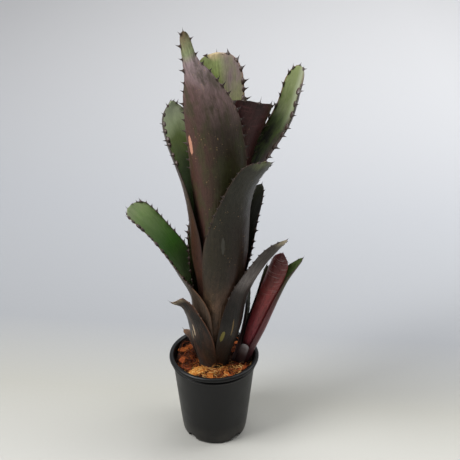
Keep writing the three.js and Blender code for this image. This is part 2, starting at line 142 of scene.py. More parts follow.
class Builder:
    """Collects shapes into one mesh, with values for each vertex and a material's number for each face."""

    def __init__(self):
        self.vertices = []
        self.faces = []
        self.values = []
        self.looks = []

    def add(self, vertices, faces, values, looks=0):
        start = len(self.vertices)
        self.vertices.extend(np.asarray(vertices, float).tolist())
        self.faces.extend([tuple(start + i for i in face) for face in faces])
        self.values.extend(values)
        self.looks.extend(np.broadcast_to(looks, len(faces)).tolist())


def ring_faces(rings, count):
    """Quads between rings of count points, and one face over each end."""
    faces = []
    for r in range(rings - 1):
        for i in range(count):
            j = (i + 1) % count
            a = r * count
            b = a + count
            faces.append((a + i, a + j, b + j, b + i))
    faces.append(tuple(reversed(range(count))))
    faces.append(tuple((rings - 1) * count + i for i in range(count)))
    return faces


def strip_faces(first, second):
    """Quads between two rows of vertex numbers."""
    return np.column_stack([first[:-1], first[1:], second[1:], second[:-1]])


# ------------------------------------------------------------------ node trees

NOISE_SPREAD = (0.3, 0.7)  # a noise keeps mostly between these values


def rgb(code):
    """A six-figure sRGB colour as a linear RGBA tuple."""
    values = [int(code[i : i + 2], 16) / 255 for i in (1, 3, 5)]
    linear = [v / 12.92 if v <= 0.04045 else ((v + 0.055) / 1.055) ** 2.4 for v in values]
    return (*linear, 1.0)


class Tree:
    """A material's node tree, with one short call for each kind of node used here."""

    def __init__(self, name, specular=0.5):
        self.material = bpy.data.materials.new(name)
        self.material.use_nodes = True
        self.nodes = self.material.node_tree.nodes
        self.links = self.material.node_tree.links
        self.bsdf = self.nodes["Principled BSDF"]
        self.bsdf.inputs["Specular IOR Level"].default_value = specular

    def add(self, kind, **settings):
        node = self.nodes.new(kind)
        for key, value in settings.items():
            setattr(node, key, value)
        return node

    def feed(self, socket, value):
        if isinstance(value, bpy.types.NodeSocket):
            self.links.new(value, socket)
        else:
            socket.default_value = value

    def attribute(self, name, output="Fac"):
        return self.add("ShaderNodeAttribute", attribute_name=name).outputs[output]

    def position(self):
        return self.add("ShaderNodeTexCoord").outputs["Object"]

    def split(self, vector):
        node = self.add("ShaderNodeSeparateXYZ")
        self.feed(node.inputs[0], vector)
        return node.outputs[0], node.outputs[1], node.outputs[2]

    def join(self, x, y, z):
        node = self.add("ShaderNodeCombineXYZ")
        for socket, value in zip(node.inputs, (x, y, z)):
            self.feed(socket, value)
        return node.outputs[0]

    def math(self, operation, a, b=0.0):
        node = self.add("ShaderNodeMath", operation=operation)
        self.feed(node.inputs[0], a)
        self.feed(node.inputs[1], b)
        return node.outputs[0]

    def span(self, value, low, high, to_low=0.0, to_high=1.0):
        node = self.add("ShaderNodeMapRange")
        for socket, v in zip(list(node.inputs)[:5], (value, low, high, to_low, to_high)):
            self.feed(socket, v)
        return node.outputs[0]

    def noise(self, vector, scale, detail=3.0, rough=0.5, distortion=0.0):
        node = self.add("ShaderNodeTexNoise")
        self.feed(node.inputs["Vector"], vector)
        node.inputs["Scale"].default_value = scale
        node.inputs["Detail"].default_value = detail
        node.inputs["Roughness"].default_value = rough
        node.inputs["Distortion"].default_value = distortion
        return node.outputs["Fac"]

    def cells(self, vector):
        node = self.add("ShaderNodeTexVoronoi")
        self.feed(node.inputs["Vector"], vector)
        node.inputs["Scale"].default_value = 1.0
        return node.outputs["Distance"], node.outputs["Color"]

    def ramp(self, value, stops):
        node = self.add("ShaderNodeValToRGB")
        self.feed(node.inputs[0], value)
        elements = node.color_ramp.elements
        while len(elements) < len(stops):
            elements.new(0.5)
        for element, (place, colour) in zip(elements, stops):
            element.position = place
            element.color = rgb(colour)
        return node.outputs[0]

    def mix(self, factor, a, b):
        node = self.add("ShaderNodeMix", data_type="RGBA")
        self.feed(node.inputs[0], factor)
        self.feed(node.inputs[6], a)
        self.feed(node.inputs[7], b)
        return node.outputs[2]

    def bump(self, height, distance_mm, strength=1.0, normal=None):
        node = self.add("ShaderNodeBump")
        node.inputs["Distance"].default_value = distance_mm * MM
        node.inputs["Strength"].default_value = strength
        self.feed(node.inputs["Height"], height)
        if normal is not None:
            self.feed(node.inputs["Normal"], normal)
        return node.outputs[0]

    def finish(self, colour, roughness, normal=None):
        self.feed(self.bsdf.inputs["Base Color"], colour)
        self.feed(self.bsdf.inputs["Roughness"], roughness)
        if normal is not None:
            self.feed(self.bsdf.inputs["Normal"], normal)
        return self.material


# ------------------------------------------------------------------ leaf materials

# Layers of noise in a leaf's skin: rate across and along it per millimetre, shift, octaves, roughness.
LAYERS = {
    "drift": (0.02, 0.012, 0.0, 2.0, 0.5),
    "mottle": (0.09, 0.03, 3.0, 5.0, 0.62),
    "freckles": (0.42, 0.16, 5.0, 5.0, 0.7),
    "streaks": (1.5, 0.02, 7.0, 4.0, 0.65),
    "scales": (2.4, 1.7, 11.0, 3.0, 0.7),
    "bands": (0.05, 0.42, 17.0, 3.0, 0.6),
    "crowds": (0.06, 0.03, 41.0, 2.0, 0.5),
    "ragged": (0.4, 0.3, 23.0, 3.0, 0.5),
    "gloss": (0.3, 0.08, 29.0, 3.0, 0.5),
    "veins": (0.9, 0.004, 31.0, 2.0, 0.5),
    "dents": (0.09, 0.05, 37.0, 3.0, 0.5),
}
LEAF_SPECULAR = 0.22
FLUSH_FADE = 0.06  # share of the leaf's length on each side of the place where a flush begins
FLUSH_WANDER = 8.0  # its edge strays this many millimetres to either side
SPOT_SIZES = ((0.24, 0.15), (0.5, 0.22))  # cells per millimetre across, and a spot's reach in its cell


class LeafSkin(Tree):
    """One face of a leaf, with noise that follows the leaf in millimetres across and along it."""

    def __init__(self, name, seed):
        super().__init__(name, LEAF_SPECULAR)
        self.seed = seed
        self.across, self.along, self.share = self.split(self.attribute("leaf", "Vector"))

    def grain(self, rate_across, rate_along, shift):
        across = self.math("MULTIPLY", self.across, rate_across)
        along = self.math("MULTIPLY", self.along, rate_along)
        return self.join(across, along, self.seed + shift)

    def layer(self, name):
        rate_across, rate_along, shift, octaves, rough = LAYERS[name]
        return self.noise(self.grain(rate_across, rate_along, shift), 1.0, octaves, rough)

    def both(self, a, b):
        return self.math("MULTIPLY", a, b)

    def flush(self, colour, drift, start, full, tinge, amount, begins):
        """Tints one side, from start to full millimetres across, beyond the share where it begins."""
        wander = self.span(drift, *NOISE_SPREAD, -FLUSH_WANDER, FLUSH_WANDER)
        sideways = self.span(self.math("ADD", self.across, wander), start, full, 0.0, amount)
        lengthways = self.span(self.share, begins - FLUSH_FADE, begins + FLUSH_FADE)
        return self.mix(self.both(sideways, lengthways), colour, rgb(tinge))

    def bands(self, colour, tinge, amount):
        """Broken pale bars across the leaf, stronger towards its tip."""
        bars = self.span(self.layer("bands"), 0.55, 0.7)
        return self.mix(self.both(bars, self.span(self.share, 0.45, 0.95, 0.0, amount)), colour, rgb(tinge))

    def midline_highlight(self, colour, tinge):
        """A pale line along the middle of the blade's last part: a painted highlight standing in for the
        sheen there.
        """
        line = self.span(self.math("ABSOLUTE", self.across), 0.5, 8.0, 0.6, 0.0)
        return self.mix(self.both(line, self.span(self.share, 0.8, 0.92)), colour, rgb(tinge))

    def spots(self, colour, tinge, amount):
        """Scattered round spots in two sizes, crowded in some places."""
        crowded = self.span(self.layer("crowds"), 0.45, 0.62, 0.05, 1.0)
        for rate, reach in SPOT_SIZES:
            distance, cell = self.cells(self.grain(rate, rate * 0.7, 5.0 + rate))
            chosen = self.math("GREATER_THAN", self.split(cell)[0], 1.0 - amount)
            spot = self.both(self.span(distance, reach, 0.5 * reach, 0.0, 0.8), chosen)
            colour = self.mix(self.both(spot, crowded), colour, rgb(tinge))
        return colour

    def mark(self, colour, place, height, half_width, half_length, tinge):
        """A single scar or patch with a ragged edge, placed in millimetres across and along the leaf."""
        u = self.math("DIVIDE", self.math("SUBTRACT", self.across, place), half_width)
        v = self.math("DIVIDE", self.math("SUBTRACT", self.along, height), half_length)
        reach = self.math("ADD", self.math("POWER", u, 2.0), self.math("POWER", v, 2.0))
        ragged = self.span(self.layer("ragged"), 0.2, 0.8, -0.35, 0.35)
        return self.mix(self.span(self.math("ADD", reach, ragged), 1.05, 0.7), colour, rgb(tinge))


def leaf_material(name, seed, stops, blotch, blotch_amount=0.5, edge="#2a1c18", flush=None, bands=None,
                  midline_highlight=None, spots=None, marks=(), roughness=0.4, weathering=1.0):
    """One face of a leaf. stops colours it from base to tip, and the other layers go over that."""
    skin = LeafSkin(name, seed)
    drift = skin.layer("drift")
    colour = skin.ramp(skin.math("ADD", skin.share, skin.span(drift, *NOISE_SPREAD, -0.04, 0.04)), stops)
    if flush:
        colour = skin.flush(colour, drift, *flush)
    colour = skin.mix(skin.span(skin.layer("mottle"), 0.46, 0.6, 0.0, blotch_amount), colour, rgb(blotch))
    colour = skin.mix(skin.span(skin.layer("freckles"), 0.42, 0.66, 0.0, 0.42 * weathering), colour, BLACK)
    colour = skin.mix(skin.span(skin.layer("streaks"), 0.3, 0.72, 0.0, 0.55 * weathering), colour, BLACK)
    scales = skin.layer("scales")
    colour = skin.mix(skin.span(scales, 0.52, 0.78, 0.0, 0.22), colour, rgb("#8e7e6e"))
    if bands:
        colour = skin.bands(colour, *bands)
    # a painted highlight along the middle of the blade
    if midline_highlight:
        colour = skin.midline_highlight(colour, midline_highlight)
    if spots:
        colour = skin.spots(colour, *spots)
    for mark in marks:
        colour = skin.mark(colour, *mark)
    margin = skin.span(skin.attribute("edge"), 0.93, 0.99, 0.0, 0.85)
    colour = skin.mix(skin.both(margin, skin.span(skin.share, 0.22, 0.45)), colour, rgb(edge))

    rough = skin.span(skin.layer("gloss"), *NOISE_SPREAD, roughness - 0.07, roughness + 0.12)
    normal = skin.bump(skin.layer("veins"), 0.5, 0.7)
    normal = skin.bump(scales, 0.12, 0.6, normal)
    normal = skin.bump(skin.layer("dents"), 1.2, 0.5, normal)
    return skin.finish(colour, rough, normal)


def spine_material(name, root, tip):
    tree = Tree(name)
    share = tree.split(tree.attribute("leaf", "Vector"))[2]
    grime = tree.noise(tree.position(), 900.0)
    colour = tree.ramp(share, [(0.0, root), (0.55, tip)])
    colour = tree.mix(tree.span(grime, 0.4, 0.7, 0.0, 0.35), colour, rgb("#5c4433"))
    return tree.finish(colour, tree.span(grime, *NOISE_SPREAD, 0.35, 0.6), tree.bump(grime, 0.1))


# ------------------------------------------------------------------ leaf shapes

LEAF_THICKNESS = 0.75
HEIGHT_STEP = 1.5  # each next leaf joins its stem this much higher
WRAP_KNEE = 0.35  # share of the way up the tube at which the second wrap angle holds
TUBE_STEP = 2.5
KNOT_STEPS = 24
KNOT_BACK = 20.0  # the curve's first knot lies this far below the place where the blade leaves the tube
TIP_ROWS = 16
EASE_WIDTH = 9.0
EASE_REACH = 22.0
LEAST_HALF = 0.25


class MainTube:
    """The nest of leaf bases round the plant's stem; shell 0 is the outermost."""

    skin_thickness = 0.7
    first_height = -5
    base_radius, body_radius = 17.6, 34.2
    widens_from, widens_over = -17, 85
    gap_low, gap_high = 0.35, 0.95  # between nested leaf bases at the medium and higher up
    swell, swell_loss, last_full_shell = 9, 1.2, 7
    swells_from, swells_over = 78, 85
    lean, leans_from, leans_over = 6.5, 8, 110

    def radius(self, shell, h):
        widening = smooth((h - self.widens_from) / self.widens_over)
        pitch = LEAF_THICKNESS + lerp(self.gap_low, self.gap_high, widening)
        swell = self.swell - self.swell_loss * max(0, shell - self.last_full_shell)
        swell = swell * smooth((h - self.swells_from) / self.swells_over)
        return lerp(self.base_radius, self.body_radius, widening) - pitch * shell + swell

    def axis(self, h):
        return np.stack([self.lean * smooth((h - self.leans_from) / self.leans_over), np.zeros_like(h)], -1)


class PupTube:
    """The offset's own nest of leaf bases, leaning away from the main plant."""

    skin_thickness = 0.6
    first_height = -4
    offset, lean, leans_from = (32.3, 4), (0.32, -0.02), -2
    base_radius, taper, gap = 12.9, 0.016, 0.5
    swell, swells_from, swells_over = 2.2, 12, 40

    def radius(self, shell, h):
        swell = self.swell * smooth((h - self.swells_from) / self.swells_over)
        return self.base_radius + self.taper * h + swell - (LEAF_THICKNESS + self.gap) * shell

    def axis(self, h):
        rise = h - self.leans_from
        return np.stack([at + slope * rise for at, slope in zip(self.offset, self.lean)], -1)


def catmull(knots, per_span):
    """Rows along a Catmull-Rom curve through knots[1:], which starts with knots[0]'s direction."""
    points = np.vstack([knots, 2 * knots[-1:] - knots[-2:-1]])
    t = np.linspace(0, 1, per_span, endpoint=False)[:, None]
    rows = []
    for p, q, r, s in zip(points[:-3], points[1:-2], points[2:-1], points[3:]):
        square, cube = 2 * p - 5 * q + 4 * r - s, 3 * q - p - 3 * r + s
        rows.append(0.5 * (2 * q + (r - p) * t + square * t**2 + cube * t**3))
    return np.vstack([*rows, knots[-1:]])


class Leaf:
    """A leaf's midline and cross-sections, in the same terms as the CAD model's.

    Each row of blade is a height, a spread away from the tube, a shift to the side, half the width,
    the radius the blade is curled to and a roll in degrees.
    """

    def __init__(self, tube, name, shell, azimuth, leaves, wrap, blade, tip, row_mm=2.6):
        self.tube = tube
        self.name = name
        self.tip = tip
        self.outward = np.array([*polar(1.0, math.radians(azimuth)), 0.0])
        self.sideways = np.array([-self.outward[1], self.outward[0], 0.0])
        base = tube.first_height + HEIGHT_STEP * shell
        heights = np.append(np.arange(base, leaves, TUBE_STEP), leaves)
        in_tube = self.tube_rows(heights, shell, base, leaves, wrap)
        before = self.tube_rows(np.array([leaves - KNOT_BACK]), shell, base, leaves, wrap)[0]
        knots = [before, in_tube[-1]]
        for h, spread, side, half, curl, roll in blade:
            middle = self.place(np.array([float(h)]), tube.radius(shell, leaves) + spread, side)[0]
            knots.append(np.array([*middle, half, curl, math.radians(roll), 1.0]))
        rows = np.vstack([in_tube[:-1], catmull(np.array(knots), KNOT_STEPS)])
        run = running_length(rows[:, :3])
        self.length = run[-1]
        self.leaves_at = run[len(in_tube) - 1]
        even = np.linspace(0, self.length - tip, int(self.length / row_mm))
        near_tip = self.length - tip * np.cos(np.linspace(0, math.pi / 2, TIP_ROWS))
        self.run = np.concatenate([even[:-1], near_tip])
        rows = self.ease(np.stack([np.interp(self.run, run, row) for row in rows.T], -1))
        self.mid = rows[:, :3]
        self.half, self.curl, self.roll = rows[:, 3], rows[:, 4], rows[:, 5]
        self.blade = np.clip(rows[:, 6], 0, 1)
        self.share = self.run / self.length
        self.into_tip = np.clip((self.run - (self.length - tip)) / tip, 0, 1)

    def place(self, h, out, side):
        spot = np.zeros((len(h), 3))
        spot[:, :2] = self.tube.axis(h)
        spot[:, 2] = BED_Z + h
        return spot + np.multiply.outer(np.broadcast_to(out, h.shape), self.outward) + self.sideways * side

    def tube_rows(self, h, shell, base, leaves, wrap):
        r = self.tube.radius(shell, h)
        angle = np.radians(np.interp((h - base) / (leaves - base), [0, WRAP_KNEE, 1], wrap))
        flat = np.zeros_like(h)
        return np.column_stack([self.place(h, r, 0.0), angle * r, r, flat, flat])

    def ease(self, rows):
        """Rounds off the place where the blade leaves the tube."""
        gap = self.run[:, None] - self.run[None, :]
        weight = np.exp(-0.5 * (gap / EASE_WIDTH) ** 2)
        eased = weight @ rows / weight.sum(1, keepdims=True)
        near = np.exp(-(((self.run - self.leaves_at) / EASE_REACH) ** 2))[:, None]
        return lerp(rows, eased, near)

    def surface(self, t, sharp):
        """Points, normals, directions and half widths at shares t (-1 to 1) across every row."""
        tangent = unit(np.gradient(self.mid, self.run, axis=0))
        along = unit(lerp(np.array([0.0, 0.0, 1.0]), tangent, self.blade[:, None]))
        facing = unit(self.outward - along * (along @ self.outward)[:, None])
        cross = np.cross(along, facing)
        c, s = (turn[:, None] for turn in polar(1.0, self.roll))
        facing, cross = facing * c + np.cross(along, facing) * s, cross * c - facing * s
        rounding = np.clip(1 - self.into_tip**2.2, 0, 1) ** sharp
        half = np.maximum(self.half * rounding, LEAST_HALF)
        angle = t * (half / self.curl)[:, None]
        curl = self.curl[:, None, None]
        cosine, sine = (turn[..., None] for turn in polar(1.0, angle))
        points = self.mid[:, None] + cross[:, None] * curl * sine - facing[:, None] * curl * (1 - cosine)
        normals = cross[:, None] * sine + facing[:, None] * cosine
        return points, normals, along, half


SPINE_SIDES = 7
SPINE_RINGS = [(-0.2, 1.7), (0.0, 1.05), (0.28, 0.48), (0.62, 0.22), (1.0, 0.03)]  # share of length, girth
SPINE_SPREAD = 0.8  # how far spines turn towards the leaf's outer face, as a share of the blade's own curve
# what each ring of a spine carries in the leaf and edge attributes: its share of the way to the point
SPINE_VALUES = [
    (0.0, 0.0, share, 0.0) for share in np.linspace(0, 1, len(SPINE_RINGS)) for _ in range(SPINE_SIDES)
]
END_SPINE_HOOK = -0.3


def spine(root, outward, forward, normal, length, width, hook):
    """A flattened, slightly hooked cone that grows from a leaf's margin."""
    points = []
    for reach, girth in SPINE_RINGS:
        middle = root + outward * length * reach + forward * hook * length * max(reach, 0) ** 1.6
        for i in range(SPINE_SIDES):
            a = TURN * i / SPINE_SIDES
            wide = forward * math.cos(a) * width * 0.5 * girth
            points.append(middle + wide + normal * math.sin(a) * width * 0.24 * girth)
    return np.array(points), ring_faces(len(SPINE_RINGS), SPINE_SIDES)


COLUMNS = 36
OUTER_LOOK, INNER_LOOK, SPINE_LOOK = range(3)


def leaf_sheet(leaf, seed, thick, waver, sharp, jag, skew):
    """A leaf's outer and inner points, normals, directions, half widths and coordinates for its looks."""
    side = np.linspace(-1, 1, COLUMNS + 1)
    t = np.sign(side) * (1 - (1 - np.abs(side)) ** 1.15)
    blade = leaf.blade
    left, right = (
        1 + waver * blade * wobble(leaf.run * 0.09, seed + i) / np.maximum(leaf.half, 4) for i in range(2)
    )
    shares = t[None] * np.where(t[None] < 0, left[:, None], right[:, None])
    points, normals, along, half = leaf.surface(shares, sharp)
    ripple = wobble(leaf.run[:, None] * 0.045 + 2.0 * t[None], seed + 2, 2)
    points = points + normals * (0.45 * ripple * blade[:, None])[..., None]
    teeth = 0.6 * np.cos(10.0 * t + 0.6 + seed) + 0.4 * wobble(9.0 * t, seed + 3)
    into_tip = leaf.into_tip[:, None]
    climb = (jag * teeth[None] * into_tip + skew * t[None]) * into_tip * (half / leaf.half)[:, None]
    points = points + along[:, None] * climb[..., None]
    full = lerp(leaf.tube.skin_thickness, thick, blade * (1 - 0.5 * leaf.into_tip))
    thickness = full[:, None] * (1 - 0.7 * np.abs(t[None]) ** 3)
    inner = points - normals * thickness[..., None]
    coords = np.broadcast_arrays(shares * half[:, None], leaf.run[:, None], leaf.share[:, None], np.abs(t))
    return points, inner, normals, along, half, np.stack(coords, -1).reshape(-1, 4)


def skin_faces(rows, cols):
    """The quads of a closed skin over an outer and an inner grid of points, and each one's look."""
    outer = np.arange(rows * cols).reshape(rows, cols)
    inner = outer + outer.size
    corners = (outer[:-1, :-1], outer[:-1, 1:], outer[1:, 1:], outer[1:, :-1])
    a, b, c, d = (corner.ravel() for corner in corners)
    sheets = [np.column_stack([a, b, c, d]), np.column_stack([a, d, c, b]) + outer.size]
    rims = [
        strip_faces(outer[:, 0], inner[:, 0]),
        strip_faces(inner[:, -1], outer[:, -1]),
        strip_faces(inner[0], outer[0]),
        strip_faces(outer[-1], inner[-1]),
    ]
    looks = [OUTER_LOOK] * len(a) + [INNER_LOOK] * len(a) + [OUTER_LOOK] * sum(map(len, rims))
    return np.vstack(sheets + rims), looks


def margin_spines(leaf, sheet, seed, flare, start, spacing, length, hook):
    """Yields the spines along both margins, the first of them at the given share of the leaf's length."""
    points, inner, normals, _, half, _ = sheet
    rng = np.random.default_rng(seed)
    last = points.shape[1] - 1
    for column, neighbour, extra in ((0, 1, flare[0]), (last, last - 1, flare[1])):
        margin = points[:, column]
        margin_along = unit(np.gradient(margin, axis=0))
        arc = running_length(margin)
        run = np.interp(leaf.length * start, leaf.run, arc) + rng.uniform(0, spacing)
        while run < arc[-1] - 0.12 * leaf.tip:
            row = int(np.argmin(np.abs(arc - run)))
            outward = margin[row] - points[row, neighbour]
            outward = unit(outward - margin_along[row] * (outward @ margin_along[row]))
            spread = SPINE_SPREAD * half[row] / leaf.curl[row] + extra
            outward = unit(math.cos(spread) * outward + math.sin(spread) * normals[row, column])
            size = length * rng.uniform(0.7, 1.15) * lerp(1.0, 0.75, leaf.into_tip[row])
            root = lerp(points[row, column], inner[row, column], 0.5)
            yield spine(root, outward, margin_along[row], normals[row, column], size, size * 0.85, hook)
            run += spacing * rng.uniform(0.75, 1.3)


def leaf_piece(leaf, looks, slot, seed, spines=None, thick=1.4, waver=0.5, end_spine=4.0, sharp=0.5,
               jag=0.8, skew=0.0, flare=(0.0, 0.0)):
    """A leaf's closed skin with its spines. looks are its outer, inner and spine materials.

    spines is (share of the length where they start, spacing, length, hook). jag tears the tip's end, skew
    pushes it up on one side, and flare turns each margin's spines further out of the blade.
    """
    sheet = leaf_sheet(leaf, seed, thick, waver, sharp, jag, skew)
    points, inner, normals, along, _, coords = sheet
    build = Builder()
    faces, face_looks = skin_faces(*points.shape[:2])
    skin = np.concatenate([points.reshape(-1, 3), inner.reshape(-1, 3)])
    build.add(skin, faces, np.concatenate([coords, coords]), face_looks)
    if spines:
        for body, faces in margin_spines(leaf, sheet, seed, flare, *spines):
            build.add(body, faces, SPINE_VALUES, SPINE_LOOK)
    middle = points.shape[1] // 2
    root = lerp(points[-1, middle], inner[-1, middle], 0.5)
    normal = normals[-1, middle]
    sideways = np.cross(along[-1], normal)
    width = end_spine * 0.55
    body, faces = spine(root, along[-1], normal * 0.4, sideways, end_spine, width, END_SPINE_HOOK)
    build.add(body, faces, SPINE_VALUES, SPINE_LOOK)

    name = f"{leaf.name}_skin"
    piece = make_piece(name, build.vertices, build.faces, looks, [leaf.name], slot, build.looks)
    values = np.array(build.values)
    set_attribute(piece, "leaf", "FLOAT_VECTOR", values[:, :3])
    set_attribute(piece, "edge", "FLOAT", values[:, 3])


# ------------------------------------------------------------------ the leaves

main = MainTube()
pup = PupTube()

dark_spine = spine_material("spine_dark", "#3a2a24", "#1c1512")
brown_spine = spine_material("spine_brown", "#6b4c38", "#2a1d17")
pale_spine = spine_material("spine_pale", "#c9b58f", "#5a4534")

FIRST_SEED = 11
INNER_SEED_SHIFT = 50.0

